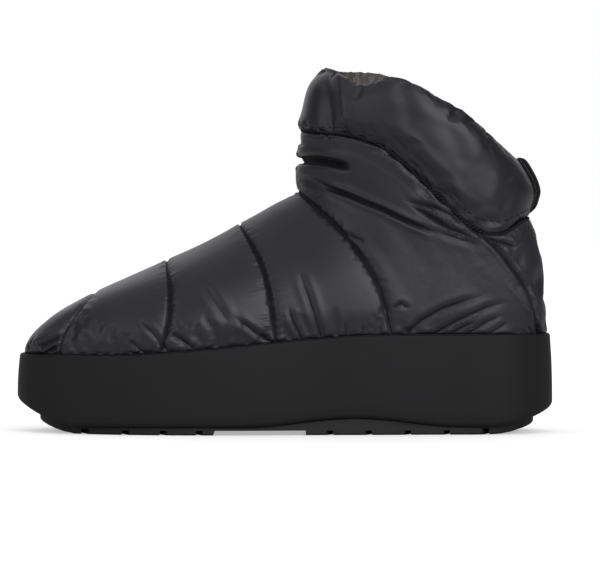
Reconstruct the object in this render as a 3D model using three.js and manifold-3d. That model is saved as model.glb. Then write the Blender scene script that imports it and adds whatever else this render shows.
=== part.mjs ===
import * as THREE from "three";
import { mergeVertices } from "three/addons/utils/BufferGeometryUtils.js";
import Module from "manifold-3d";

// A low quilted snow boot for the left foot, standing empty on its sole. Millimetres.
// +X runs from toe to heel, +Y to the inner side of the foot, +Z up, and the floor is z = 0.

// Sole, seen from above
const soleLength = 285;
const ballWidth = 106;
const waistWidth = 93;
const heelWidth = 84;
const toeBend = 11; // how far the toe tip swings to the inner side
const archPinch = 3.5; // hollow of the inner side at the waist

// Sole, seen from the side
const toeRimHeight = 41.5;
const heelRimHeight = 52.5;
const toeSpring = 13;
const heelLift = 10;
const archRise = 4.8; // how far the midsole's lower edge lifts under the arch
const rimWidth = 3.4; // wall of the midsole's tray at its top
const rimRound = 1.6;
const wallFlare = 1.2;
const lowerBevel = 2.5;
const wellDepth = 12; // from the rim down to the tray's floor
const rubberThickness = 3.8; // plate and lugs together
const lugDepth = 2.4;
const outsoleToeSetback = 9;
const outsoleHeelSetback = 7;
const outsoleInset = 3;

// Upper and collar
const upperHeight = 142; // from the rim to the top of the collar
const paddedWall = 6; // between the seams
const fabricWall = 2.6; // where the padding is stitched or clamped flat
const panelPuff = 1.3; // how far a panel swells between its seams
const seamDepth = 3.2; // how far the deepest seam sinks into the padding
const filledAt = 9; // height above the rim at which the padding has its full wall
const pleatDepth = 6.5; // the deep fold at the front of the ankle
const creaseDepth = 3; // the shallower fold below it
const instepShift = 4; // how far the instep's ridge lies to the inner side
const collarWall = 7;
const collarPuff = 2;
const lipWall = 3.6; // at the collar's top edge

// Small parts
const insoleThickness = 4;
const tapeWidth = 15;
const tapeThickness = 1.2;
const loopWidth = 16;
const loopThickness = 3.8; // two layers of webbing
const loopStand = 0.6; // how far the loop bulges off the collar

// Fits
const gap = 0.3; // between pieces that touch
const insoleClearance = 1.8;

// Fineness of the mesh
const outlineSteps = 34; // along each side
const sideSteps = 18; // from the top centre line down each side

const clamp01 = (value) => Math.min(1, Math.max(0, value));
const mix = THREE.MathUtils.lerp;
const smooth = THREE.MathUtils.smoothstep;

// Turns rows of numbers into objects with the columns' names.
function table(columns, rows) {
  return rows.map((row) => Object.fromEntries(columns.map((name, i) => [name, row[i]])));
}

// A hump that is 1 at the centre and fades to 0 one reach away.
function hump(value, centre, reach) {
  const share = clamp01(1 - Math.abs(value - centre) / reach);
  return share * share * (3 - 2 * share);
}

// Smooth values through rows without overshoot: the slope is zero wherever the direction turns.
function through(rows, column, v) {
  const last = rows.length - 1;
  const i = Math.min(last - 1, Math.max(0, Math.floor(v)));
  const value = (k) => rows[k][column];
  const rise = (k) => value(k + 1) - value(k);
  const slope = (k) => {
    if (k === 0) return rise(0);
    if (k === last) return rise(last - 1);
    const product = rise(k - 1) * rise(k);
    return product > 0 ? (2 * product) / (rise(k - 1) + rise(k)) : 0;
  };
  const t = v - i;
  const ease = t * t * (3 - 2 * t);
  const start = t * (1 - t) * (1 - t) * slope(i);
  const end = t * t * (t - 1) * slope(i + 1);
  return mix(value(i), value(i + 1), ease) + start + end;
}

// The sole's outline: widths at ball, waist and heel, rounded off at both ends.
const ballAt = 0.32;
const waistAt = 0.6;
const heelAt = 0.84;
const toeRound = { reach: 0.3, power: 2.15 };
const heelRound = { reach: 0.17, power: 2.3 };

function endRound(distance, { reach, power }) {
  const short = 1 - clamp01(distance / reach);
  return Math.pow(1 - Math.pow(short, power), 1 / power);
}

function halfWidth(along, side) {
  const front = mix(ballWidth, waistWidth, smooth(along, ballAt, waistAt));
  const width = mix(front, heelWidth, smooth(along, waistAt, heelAt));
  const pinch = side > 0 ? archPinch * hump(along, waistAt, 0.28) : 0;
  return (width / 2 - pinch) * endRound(along, toeRound) * endRound(1 - along, heelRound);
}

const straightFrom = 0.62; // behind this share of the length the sole doesn't bend
const centreLine = (along) => toeBend * Math.pow(clamp01(1 - along / straightFrom), 2);
const alongToX = (along) => (along - 0.5) * soleLength;

// Heights along the sole
const toeRocker = { reach: 0.115, power: 1.6 };
const heelRocker = { reach: 0.12, power: 1.8 };
const archAt = { centre: 0.63, reach: 0.2 };

function groundHeight(along) {
  const lift = (distance, { reach, power }) => Math.pow(clamp01(1 - distance / reach), power);
  return toeSpring * lift(along, toeRocker) + heelLift * lift(1 - along, heelRocker);
}

const rubberTop = (along) =>
  groundHeight(along) + rubberThickness + archRise * hump(along, archAt.centre, archAt.reach);
const rimHeight = (along) => mix(toeRimHeight, heelRimHeight, smooth(along, 0.15, 0.72));
const wellFloor = (along) => rimHeight(along) - wellDepth;

// A point of the outline: theta runs from 0 at the toe tip along the outer side to pi at the heel,
// and back to the toe along the inner side.
function outlinePoint(theta, inset = 0, toeSetback = 0, heelSetback = 0) {
  const plain = (angle) => {
    const share = (1 - Math.cos(angle)) / 2;
    const along = mix(toeSetback / soleLength, 1 - heelSetback / soleLength, share);
    const side = Math.sin(angle) < 0 ? 1 : -1;
    return new THREE.Vector3(alongToX(along), side * halfWidth(share, side) + centreLine(along), 0);
  };
  const step = Math.PI / outlineSteps / 2;
  const tangent = plain(theta + step).sub(plain(theta - step)).normalize();
  return plain(theta).add(new THREE.Vector3(-tangent.y * inset, tangent.x * inset, 0));
}

const xToAlong = (x) => clamp01(x / soleLength + 0.5);

// One closed ring round the outline at an inset, with its height by place along the sole.
function soleRing({ inset, height, toeSetback, heelSetback }) {
  const ring = [];
  for (let i = 0; i < 2 * outlineSteps; i++) {
    const point = outlinePoint((Math.PI * i) / outlineSteps, inset, toeSetback, heelSetback);
    ring.push(point.setZ(height(xToAlong(point.x))));
  }
  return ring;
}

function geometryFrom(points, triangles) {
  const geometry = new THREE.BufferGeometry();
  geometry.setAttribute("position", new THREE.Float32BufferAttribute(points.flatMap((p) => p.toArray()), 3));
  geometry.setIndex(triangles.flat());
  return geometry;
}

// A closed solid through rings from the bottom up, with both ends closed from side to side.
function loftRings(rings) {
  const count = rings[0].length;
  const half = count / 2;
  const triangles = [];
  for (let k = 0; k + 1 < rings.length; k++) {
    for (let i = 0; i < count; i++) {
      const a = k * count + i;
      const b = k * count + ((i + 1) % count);
      triangles.push([a, b, b + count], [a, b + count, a + count]);
    }
  }
  const top = (rings.length - 1) * count;
  for (let i = 0; i < half; i++) {
    const near = [i, i + 1];
    const far = [(count - i) % count, count - i - 1];
    if (i > 0) {
      triangles.push([near[0], far[0], near[1]]);
      triangles.push([top + near[0], top + near[1], top + far[0]]);
    }
    if (i < half - 1) {
      triangles.push([near[1], far[0], far[1]]);
      triangles.push([top + near[1], top + far[1], top + far[0]]);
    }
  }
  return geometryFrom(rings.flat(), triangles);
}

// Keeps positions alone, with equal ones merged, and drops triangles that lost their area.
function weld(geometry) {
  geometry.deleteAttribute("normal");
  geometry.deleteAttribute("uv");
  const welded = mergeVertices(geometry, 1e-3);
  const kept = [];
  const index = welded.index.array;
  for (let i = 0; i < index.length; i += 3) {
    const [a, b, c] = [index[i], index[i + 1], index[i + 2]];
    if (a !== b && b !== c && c !== a) kept.push(a, b, c);
  }
  welded.setIndex(kept);
  return welded;
}

const wasm = await Module();
wasm.setup();

function toSolid(geometry) {
  const welded = weld(geometry);
  const vertProperties = new Float32Array(welded.attributes.position.array);
  const triVerts = new Uint32Array(welded.index.array);
  return new wasm.Manifold(new wasm.Mesh({ numProp: 3, vertProperties, triVerts }));
}

function fromSolid(solid) {
  const mesh = solid.getMesh();
  const geometry = new THREE.BufferGeometry();
  geometry.setAttribute("position", new THREE.BufferAttribute(mesh.vertProperties, 3));
  geometry.setIndex(new THREE.BufferAttribute(mesh.triVerts, 1));
  return geometry;
}

// The midsole: one tall moulded tray that carries the foot and holds the upper's lower edge.
function midsoleGeometry() {
  const bottom = (along) => rubberTop(along) + gap;
  const rings = [
    { inset: lowerBevel, height: bottom },
    { inset: 0, height: (along) => bottom(along) + lowerBevel },
    { inset: wallFlare, height: (along) => rimHeight(along) - rimRound },
    { inset: wallFlare + rimRound / 3, height: (along) => rimHeight(along) - rimRound / 3 },
    { inset: wallFlare + rimRound, height: rimHeight },
    { inset: rimWidth, height: rimHeight },
    { inset: rimWidth, height: wellFloor },
  ];
  return loftRings(rings.map(soleRing));
}

// The outsole: a rubber plate that follows the midsole, with lugs left standing between channels.
const crossChannels = table(
  ["along", "sweep"],
  [
    [0.1, 0.3],
    [0.165, 0.3],
    [0.23, 0.3],
    [0.295, 0.3],
    [0.36, 0.3],
    [0.56, -0.3],
    [0.63, -0.3],
    [0.7, -0.3],
    [0.77, -0.3],
    [0.84, -0.3],
    [0.91, -0.3],
  ],
);
const longChannels = [-0.3, 0.3]; // shares of the ball's width, either side of the centre line
const channelWidth = 3.4;
const waistChannel = { from: 0.37, to: 0.54 };

function channelAcross({ along, sweep }) {
  const reach = ballWidth / 2;
  const floor = groundHeight(along) + lugDepth;
  const x = alongToX(along);
  const shape = new THREE.Shape();
  shape.moveTo(x - channelWidth / 2, 0);
  shape.lineTo(x - channelWidth / 2 + sweep * reach, reach);
  shape.lineTo(x + channelWidth / 2 + sweep * reach, reach);
  shape.lineTo(x + channelWidth / 2, 0);
  shape.lineTo(x + channelWidth / 2 + sweep * reach, -reach);
  shape.lineTo(x - channelWidth / 2 + sweep * reach, -reach);
  const depth = lugDepth + floor;
  return new THREE.ExtrudeGeometry(shape, { depth, bevelEnabled: false }).translate(0, 0, -lugDepth);
}

function channelAlong(share) {
  const from = 0.05;
  const to = 0.96;
  const steps = 14;
  const rings = [];
  for (let i = 0; i <= steps; i++) {
    const along = mix(from, to, i / steps);
    const narrow = mix(1, heelWidth / ballWidth, smooth(along, ballAt, heelAt));
    const y = share * ballWidth * narrow + centreLine(along);
    const floor = groundHeight(along) + lugDepth;
    const [x, left, right] = [alongToX(along), y - channelWidth / 2, y + channelWidth / 2];
    rings.push([
      new THREE.Vector3(x, left, floor),
      new THREE.Vector3(x, left, -lugDepth),
      new THREE.Vector3(x, right, -lugDepth),
      new THREE.Vector3(x, right, floor),
    ]);
  }
  return loftRings(rings);
}

function outsoleGeometry() {
  const setbacks = { toeSetback: outsoleToeSetback, heelSetback: outsoleHeelSetback };
  const rings = [
    { inset: outsoleInset + lugDepth / 3, height: groundHeight },
    { inset: outsoleInset, height: (along) => groundHeight(along) + lugDepth / 3 },
    { inset: outsoleInset, height: rubberTop },
  ];
  let solid = toSolid(loftRings(rings.map((ring) => soleRing({ ...ring, ...setbacks }))));
  for (const channel of crossChannels) solid = solid.subtract(toSolid(channelAcross(channel)));
  for (const share of longChannels) solid = solid.subtract(toSolid(channelAlong(share)));
  const waistLength = (waistChannel.to - waistChannel.from) * soleLength;
  const waist = new THREE.BoxGeometry(waistLength, ballWidth * 2, lugDepth * 2);
  waist.translate(alongToX((waistChannel.from + waistChannel.to) / 2), 0, 0);
  return fromSolid(solid.subtract(toSolid(waist)));
}

// The insole lies on the tray's floor, inside the upper's lower edge.
function insoleGeometry() {
  const inset = rimWidth + gap + fabricWall + insoleClearance;
  const low = (along) => wellFloor(along) + gap;
  const high = (along) => low(along) + insoleThickness;
  const edge = insoleThickness / 4;
  const rings = [
    { inset, height: low },
    { inset, height: (along) => high(along) - edge },
    { inset: inset + edge, height: high },
  ];
  return loftRings(rings.map(soleRing));
}

// The upper's rows, seen from the side. Each starts at the top or front centre line, passes a front
// and a rear point, and ends on the sole's rim (edge 0 to 1, toe to heel) or on the back seam (edge 1
// to 2, rim to collar top). along is a share of soleLength, up is the height above the rim as a share
// of upperHeight, and girth is the half width as a share of half the ball's width. blunt is the power
// that rounds the row's rear part: 1 is an ellipse, and less is fuller.
const upperRows = table(
  ["name", "topAlong", "topUp", "frontAlong", "frontUp", "rearAlong", "rearUp", "edge", "girth", "blunt"],
  [
    ["toeTip", 0.013, 0.0, 0.013, 0.0, 0.013, 0.0, 0.0, 0.0, 0.88],
    ["toeFront", 0.026, 0.053, 0.024, 0.034, 0.024, 0.015, 0.024, 0.3, 0.88],
    ["toeTop", 0.065, 0.132, 0.056, 0.09, 0.049, 0.045, 0.05, 0.5, 0.88],
    ["toeSeam", 0.146, 0.225, 0.121, 0.162, 0.093, 0.079, 0.078, 0.6, 0.88],
    ["toePanel", 0.213, 0.283, 0.206, 0.201, 0.191, 0.097, 0.174, 0.8, 0.88],
    ["ballSeam", 0.28, 0.335, 0.29, 0.233, 0.288, 0.109, 0.273, 0.9, 0.88],
    ["ballPanel", 0.35, 0.387, 0.378, 0.266, 0.385, 0.129, 0.381, 0.9, 0.88],
    ["waistSeam", 0.417, 0.446, 0.458, 0.295, 0.477, 0.148, 0.488, 0.85, 0.88],
    ["waistPanel", 0.477, 0.501, 0.538, 0.332, 0.579, 0.167, 0.594, 0.8, 0.88],
    ["instepSeam", 0.525, 0.552, 0.613, 0.373, 0.673, 0.191, 0.7, 0.78, 0.85],
    ["crease", 0.523, 0.608, 0.645, 0.478, 0.75, 0.234, 0.82, 0.76, 0.7],
    ["pleat", 0.527, 0.664, 0.667, 0.551, 0.81, 0.24, 0.93, 0.75, 0.55],
    ["heelCorner", 0.527, 0.72, 0.677, 0.618, 0.86, 0.282, 1.0, 0.75, 0.45],
    ["collarSeam", 0.527, 0.78, 0.679, 0.693, 0.859, 0.384, 1.618, 0.78, 0.6],
    ["collarLow", 0.538, 0.849, 0.688, 0.764, 0.841, 0.572, 1.732, 0.83, 0.66],
    ["collarHigh", 0.55, 0.93, 0.69, 0.854, 0.83, 0.726, 1.85, 0.84, 0.7],
    ["rim", 0.579, 1.015, 0.69, 0.948, 0.813, 0.864, 2.0, 0.78, 0.75],
  ],
);
const rowOf = (name) => upperRows.findIndex((row) => row.name === name);
const seamRow = rowOf("collarSeam");
const rimRow = rowOf("rim");
const heelCorner = rowOf("heelCorner");

// Quilting seams: each one's share of the deepest seam, and how many rows its groove reaches
const quiltSeams = table(
  ["row", "share", "reach"],
  [
    [rowOf("toeSeam"), 0.5, 0.3],
    [rowOf("ballSeam"), 0.56, 0.3],
    [rowOf("waistSeam"), 0.62, 0.3],
    [rowOf("instepSeam"), 0.94, 0.4],
    [seamRow, 1, 0.6],
  ],
);

// The back seam in side view, from the sole's rim to the top of the collar
const backSeam = table(
  ["along", "up"],
  [
    [0.981, 0.129],
    [0.978, 0.246],
    [0.968, 0.354],
    [0.952, 0.452],
    [0.955, 0.519],
    [0.94, 0.598],
    [0.914, 0.684],
  ],
);

const upperInset = rimWidth + gap;
const upToHeight = (along, up) => rimHeight(clamp01(along)) + up * upperHeight;
const sidePoint = (along, up) => new THREE.Vector3(alongToX(along), 0, upToHeight(along, up));

// The upper's lower edge: a point where the padding leaves the tray, on one side of the sole.
function rimEdge(edge, side) {
  const angle = Math.acos(1 - 2 * edge);
  const point = outlinePoint(side < 0 ? angle : -angle, upperInset);
  return point.setZ(rimHeight(xToAlong(point.x)) + gap);
}

const backCurve = new THREE.CatmullRomCurve3([
  rimEdge(1, -1).setY(0),
  ...backSeam.map(({ along, up }) => sidePoint(along, up)),
]);

const frontBlunt = 0.88; // the rows' front parts are rounded alike
const overhang = 1.03; // padding stands this much wider than its foot in the tray

// The collar's rim dips behind its front corner on the outer side and rises on the inner side.
const rimWaves = table(
  ["side", "centre", "reach", "lift"],
  [
    [-1, 0.18, 0.18, -0.038],
    [-1, 0.42, 0.2, 0.022],
    [1, 0.35, 0.35, 0.035],
  ],
);

function rimWave(share, side) {
  const waves = rimWaves.filter((wave) => wave.side === side);
  const lifts = waves.map(({ centre, reach, lift }) => lift * hump(share, centre, reach));
  return lifts.reduce((sum, lift) => sum + lift, 0) * upperHeight;
}

// A point on the padded surface: v counts rows, turn runs from 0 at the centre line to 1 at the end.
function surfacePoint(v, turn, side) {
  const value = (column) => through(upperRows, column, v);
  const edge = value("edge");
  const end = edge < 1 ? rimEdge(edge, side) : backCurve.getPointAt(clamp01(edge - 1));
  if (v === 0) return end;
  const endWidth = edge < 1 ? Math.max(0, side * (end.y - centreLine(xToAlong(end.x)))) : 0;
  const width = Math.max((value("girth") * ballWidth) / 2, endWidth * overhang);
  const lastAngle = Math.PI - Math.asin(Math.pow(endWidth / width, 1 / value("blunt")));
  const angle = lastAngle * turn;
  const share = (1 - Math.cos(angle)) / (1 - Math.cos(lastAngle));
  if (turn === 1) return end;
  const path = [
    sidePoint(value("topAlong"), value("topUp")),
    sidePoint(value("frontAlong"), value("frontUp")),
    sidePoint(value("rearAlong"), value("rearUp")),
    end.clone().setY(0),
  ];
  const point = new THREE.CatmullRomCurve3(path, false, "catmullrom").getPoint(share);
  point.z += rimWave(share, side) * smooth(v, seamRow + 1, rimRow);
  const power = mix(frontBlunt, value("blunt"), share);
  point.y = side * width * Math.pow(Math.max(0, Math.sin(angle)), power);
  const ridge = hump(v, rowOf("waistSeam"), 7) * (1 - share);
  point.y += centreLine(xToAlong(point.x)) + instepShift * ridge;
  return point;
}

// The outward normal of the padded surface. The tray holds the fabric upright along its edge.
function surfaceNormal(v, turn, side) {
  const edge = through(upperRows, "edge", v);
  if (turn === 1 && edge <= 1) {
    const angle = side * -Math.acos(1 - 2 * edge);
    return outlinePoint(angle).sub(outlinePoint(angle, 1)).normalize();
  }
  const [stepV, stepTurn] = [0.05, 0.02];
  const across = (step) => {
    const place = turn + step;
    if (place < 0) return surfacePoint(v, -place, -side);
    if (place >= 1) return surfacePoint(v, 2 - place, -side);
    return surfacePoint(v, place, side);
  };
  const ahead = surfacePoint(Math.min(rimRow, v + stepV), turn, side);
  const along = ahead.sub(surfacePoint(Math.max(0, v - stepV), turn, side));
  return along.cross(across(stepTurn).sub(across(-stepTurn))).multiplyScalar(side).normalize();
}

// Where half a gap lies beside the collar seam: direction -1 is on the upper, 1 on the collar.
function besideSeam(direction, turn, side) {
  const probe = 0.1;
  const seam = surfacePoint(seamRow, turn, side);
  const way = surfacePoint(seamRow + direction * probe, turn, side).sub(seam).divideScalar(probe);
  const before = surfacePoint(seamRow, Math.max(0, turn - probe), side);
  const along = surfacePoint(seamRow, Math.min(1, turn + probe), side).sub(before).normalize();
  const pace = way.cross(along).length();
  return surfacePoint(seamRow + (direction * gap) / 2 / pace, turn, side);
}

// The two skins of a wall over a grid of places on the padded surface. outward and inward are
// distances along the surface's normals. direction says which side of the collar seam the grid is on.
function wallOver(places, outward, inward, direction = 1) {
  const width = places[0].length;
  const spots = places.flat();
  const keys = new Map();
  const [outer, inner] = [[], []];
  const slots = spots.map((place) => {
    const { v, turn, side, skirt } = place;
    const point = v === seamRow ? besideSeam(direction, turn, side) : surfacePoint(v, turn, side);
    if (skirt) point.z -= wellDepth;
    const key = point.toArray().map((n) => Math.round(n * 500)).join();
    if (!keys.has(key)) {
      const normal = surfaceNormal(v, turn, side);
      keys.set(key, keys.size);
      outer.push(point.clone().addScaledVector(normal, outward(place)));
      inner.push(point.clone().addScaledVector(normal, -inward(place)));
    }
    return keys.get(key);
  });
  const faces = [];
  for (let row = 0; row + 1 < places.length; row++) {
    for (let column = 0; column + 1 < width; column++) {
      const a = row * width + column;
      const quad = [a, a + 1, a + width, a + width + 1];
      const inTray = quad.some((corner) => spots[corner].skirt);
      if (inTray && spots[a + width].v > heelCorner) continue;
      const [p, q, r, s] = quad.map((corner) => slots[corner]);
      faces.push(...[[p, r, q], [q, r, s]].filter(([i, j, k]) => i !== j && j !== k && k !== i));
    }
  }
  const open = new Map();
  for (const face of faces) {
    face.forEach((a, i) => {
      const b = face[(i + 1) % 3];
      if (!open.delete(`${b},${a}`)) open.set(`${a},${b}`, [a, b]);
    });
  }
  const shift = outer.length;
  const closed = [...faces, ...faces.map(([a, b, c]) => [a + shift, c + shift, b + shift])];
  for (const [a, b] of open.values()) closed.push([b, a, a + shift], [b, a + shift, b + shift]);
  return geometryFrom([...outer, ...inner], closed);
}

// A grid of places: rows over both sides, from the outer edge over the centre line to the inner edge.
// With a skirt, each row ends in a place at the tray's floor.
function placeGrid(rows, hasSkirt) {
  const reach = sideSteps + (hasSkirt ? 1 : 0);
  return rows.map((v) => {
    const row = [];
    for (let column = -reach; column <= reach; column++) {
      const turn = Math.min(1, Math.abs(column) / sideSteps);
      row.push({ v, turn, side: column < 0 ? -1 : 1, skirt: Math.abs(column) > sideSteps });
    }
    return row;
  });
}

// How far the tray's edge holds the padding flat: 1 in the tray, 0 a little above it.
function heldFlat({ v, turn, side, skirt }) {
  if (skirt) return 1;
  const point = surfacePoint(v, turn, side);
  const above = point.z - gap - rimHeight(xToAlong(point.x));
  return 1 - smooth(above, 0, filledAt);
}

// How far the padding stands off the surface: swollen in the panels, sunk at seams and folds.
function padding(place) {
  const { v, turn } = place;
  const nearest = Math.min(...quiltSeams.map(({ row }) => Math.abs(v - row)));
  const swell = panelPuff * Math.min(1, nearest) * smooth(v, 0, 1.5);
  const sink = ({ row, share, reach }) => seamDepth * share * clamp01(1 - Math.abs(v - row) / reach);
  const pleat = pleatDepth * hump(v, rowOf("pleat"), 0.4) * clamp01(1.4 - turn / 0.3);
  const crease = creaseDepth * hump(v, rowOf("crease"), 0.45) * hump(turn, 0.3, 0.3);
  const groove = Math.max(...quiltSeams.map(sink));
  return (swell - groove - Math.min(pleat, pleatDepth) - crease) * (1 - heldFlat(place));
}

const backRows = [12, 12.04, 12.15, 12.4, 12.6, 12.8, 12.93]; // rows that end on the back seam

function upperGeometry() {
  const rows = [0, 0.4, 1, 1.5, 2, 2.4, 2.7];
  for (const seam of ["toeSeam", "ballSeam", "waistSeam"].map(rowOf)) {
    rows.push(seam, seam + 0.3, seam + 0.65, seam + 1, seam + 1.35, seam + 1.7);
  }
  rows.push(9, 9.4, 9.7, 10, 10.3, 10.65, 10.85, 11, 11.2, 11.45, 11.7, 11.88, ...backRows, seamRow);
  const inward = (place) =>
    Math.max(fabricWall - Math.min(0, padding(place)), mix(paddedWall, fabricWall, heldFlat(place)));
  return wallOver(placeGrid(rows, true), padding, inward, -1);
}

const collarSeam = quiltSeams.find(({ row }) => row === seamRow);

// How far the collar's padding stands off the surface: swollen at mid height, sunk at its seam.
function collarPadding({ v }) {
  const share = (v - seamRow) / (rimRow - seamRow);
  const groove = seamDepth * clamp01(1 - (v - seamRow) / collarSeam.reach);
  return collarPuff * Math.sin(Math.PI * share) - groove;
}

function collarGeometry() {
  const rows = [0, 0.25, 0.6, 1.1, 1.7, 2.25, 2.65, 2.9, 3].map((step) => seamRow + step);
  const inward = (place) => {
    const lip = clamp01((rimRow - place.v) / 0.6);
    return mix(lipWall, collarWall, Math.sqrt(lip)) - Math.min(0, collarPadding(place));
  };
  return wallOver(placeGrid(rows, false), collarPadding, inward);
}

// A woven tape covers the back seam from the sole to the collar, on the upper's own facets.
function heelTapeGeometry() {
  const rings = backRows.slice(1).map((v) => {
    const skin = (turn, side) => {
      const stand = padding({ v, turn, side });
      return { point: surfacePoint(v, turn, side), normal: surfaceNormal(v, turn, side), stand };
    };
    const corner = (across, lift) => {
      const side = across < 0 ? -1 : 1;
      const [back, last] = [skin(1, side), skin(1 - 1 / sideSteps, side)];
      const share = across / (last.point.y - back.point.y);
      const normal = back.normal.clone().lerp(last.normal, share).normalize();
      const point = back.point.clone().lerp(last.point, share);
      return point.addScaledVector(normal, mix(back.stand, last.stand, share) + lift);
    };
    const [low, high] = [gap, gap + tapeThickness];
    const edge = tapeWidth / 2;
    return [
      corner(-edge, high), corner(0, high), corner(edge, high),
      corner(edge, low), corner(0, low), corner(-edge, low),
    ];
  });
  return loftRings(rings);
}

// The pull loop: webbing laid double along the collar's back, between two sewn ends.
function pullLoopGeometry() {
  const [from, to] = [seamRow + 0.2, rimRow - 0.3];
  const steps = 14;
  const inner = [];
  const outer = [];
  for (let i = 0; i <= steps; i++) {
    const share = i / steps;
    const v = mix(from, to, share);
    const stand = collarPadding({ v }) + gap + loopStand * Math.sin(Math.PI * share);
    const normal = surfaceNormal(v, 1, 1);
    const low = surfacePoint(v, 1, 1).addScaledVector(normal, stand);
    const high = low.clone().addScaledVector(normal, loopThickness);
    inner.push(new THREE.Vector2(low.x, low.z));
    outer.push(new THREE.Vector2(high.x, high.z));
  }
  const shape = new THREE.Shape([...inner, ...outer.reverse()]);
  const band = new THREE.ExtrudeGeometry(shape, { depth: loopWidth, bevelEnabled: false });
  return band.rotateX(Math.PI / 2).translate(0, loopWidth / 2, 0);
}

function material(color, roughness) {
  return new THREE.MeshStandardMaterial({ color, roughness, metalness: 0 });
}

const materials = {
  rubber: material(0x1d1d1e, 0.85),
  foam: material(0x2b2b2d, 0.75),
  lining: material(0x2a2928, 0.9),
  nylon: material(0x232327, 0.38),
  webbing: material(0x141414, 0.9),
};

// The origin lies below the middle of the sole's width and length.
const sideways = soleRing({ inset: 0, height: rimHeight }).map((point) => point.y);
const middle = (Math.min(...sideways) + Math.max(...sideways)) / 2;

function piece(name, geometry, finish) {
  const mesh = new THREE.Mesh(weld(geometry).translate(0, -middle, 0), finish);
  mesh.geometry.computeVertexNormals();
  mesh.name = name;
  return mesh;
}

const boot = new THREE.Group();
boot.add(piece("outsole", outsoleGeometry(), materials.rubber));
boot.add(piece("midsole", midsoleGeometry(), materials.foam));
boot.add(piece("insole", insoleGeometry(), materials.lining));
boot.add(piece("upper", upperGeometry(), materials.nylon));
boot.add(piece("collar", collarGeometry(), materials.nylon));
boot.add(piece("heel_tape", heelTapeGeometry(), materials.webbing));
boot.add(piece("pull_loop", pullLoopGeometry(), materials.webbing));

export default boot;
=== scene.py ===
import math
import numpy as np
import bpy
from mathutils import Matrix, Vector, kdtree


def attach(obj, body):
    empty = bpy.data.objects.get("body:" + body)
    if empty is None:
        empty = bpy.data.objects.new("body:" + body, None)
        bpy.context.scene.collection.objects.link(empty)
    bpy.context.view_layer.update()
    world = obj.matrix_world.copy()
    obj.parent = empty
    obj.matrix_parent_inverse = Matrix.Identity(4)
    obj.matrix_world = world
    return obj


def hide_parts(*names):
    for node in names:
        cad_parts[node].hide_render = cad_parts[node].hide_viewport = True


# A quilted snow boot, left foot. Lengths are in millimetres here and become metres in meshFrom.
# The toe points to -X, the inner side of the foot to +Y, and the floor is z = 0.

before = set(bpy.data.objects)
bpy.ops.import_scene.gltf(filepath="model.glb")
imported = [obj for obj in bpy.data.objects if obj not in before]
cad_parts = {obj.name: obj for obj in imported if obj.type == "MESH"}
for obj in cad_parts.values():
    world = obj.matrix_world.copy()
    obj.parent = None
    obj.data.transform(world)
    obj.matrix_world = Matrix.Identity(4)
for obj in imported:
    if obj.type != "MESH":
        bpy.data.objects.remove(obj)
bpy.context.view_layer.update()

# ---- sizes of the boot

sole = {
    "length": 285, "ballWidth": 106, "waistWidth": 93, "heelWidth": 84,
    "toeBend": 11, "archPinch": 3.5,
    "toeRimHeight": 41.5, "heelRimHeight": 52.5, "toeSpring": 13, "heelLift": 10, "archRise": 4.8,
    "rimWidth": 3.4, "rimRound": 1.6, "wallFlare": 1.2, "lowerBevel": 2.5,
    "wellDepth": 12, "rubberThickness": 3.8, "gap": 0.3,
}
last = {
    "upperHeight": 142, "instepShift": 4, "frontBlunt": 0.88, "overhang": 1.03,
    "paddedWall": 6, "fabricWall": 2.6, "filledAt": 9, "collarWall": 7, "lipWall": 3.6,
}


def clamp01(value):
    return np.clip(value, 0, 1)


def mix(a, b, share):
    return a + (b - a) * share


def smooth(value, low, high):
    share = clamp01((value - low) / (high - low))
    return share * share * (3 - 2 * share)


def hump(value, centre, reach):
    share = clamp01(1 - np.abs(value - centre) / reach)
    return share * share * (3 - 2 * share)


# ---- the sole's outline and heights

def endRound(distance, reach, power):
    short = 1 - clamp01(distance / reach)
    return np.power(1 - np.power(short, power), 1 / power)


def halfWidth(along, side):
    front = mix(sole["ballWidth"], sole["waistWidth"], smooth(along, 0.32, 0.6))
    width = mix(front, sole["heelWidth"], smooth(along, 0.6, 0.84))
    pinch = np.where(side > 0, sole["archPinch"] * hump(along, 0.6, 0.28), 0)
    return (width / 2 - pinch) * endRound(along, 0.3, 2.15) * endRound(1 - along, 0.17, 2.3)


def centreLine(along):
    return sole["toeBend"] * clamp01(1 - along / 0.62) ** 2


def alongToX(along):
    return (along - 0.5) * sole["length"]


def xToAlong(x):
    return clamp01(x / sole["length"] + 0.5)


def groundHeight(along):
    toe = sole["toeSpring"] * clamp01(1 - along / 0.115) ** 1.6
    return toe + sole["heelLift"] * clamp01(1 - (1 - along) / 0.12) ** 1.8


def rubberTop(along):
    return groundHeight(along) + sole["rubberThickness"] + sole["archRise"] * hump(along, 0.63, 0.2)


def rimHeight(along):
    return mix(sole["toeRimHeight"], sole["heelRimHeight"], smooth(along, 0.15, 0.72))


def outlinePoint(theta, inset=0.0):
    def plain(angle):
        along = (1 - np.cos(angle)) / 2
        side = np.where(np.sin(angle) < 0, 1, -1)
        return np.stack([alongToX(along), side * halfWidth(along, side) + centreLine(along)], -1)

    tangent = plain(theta + 0.046) - plain(theta - 0.046)
    tangent /= np.linalg.norm(tangent, axis=-1, keepdims=True)
    return plain(theta) + np.stack([-tangent[..., 1], tangent[..., 0]], -1) * np.asarray(inset)[..., None]


outline = outlinePoint(np.linspace(0, 2 * np.pi, 68, endpoint=False))
sidewaysMiddle = (outline[:, 1].min() + outline[:, 1].max()) / 2

# ---- the upper's surface, row by row from the toe tip to the collar's rim

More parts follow.
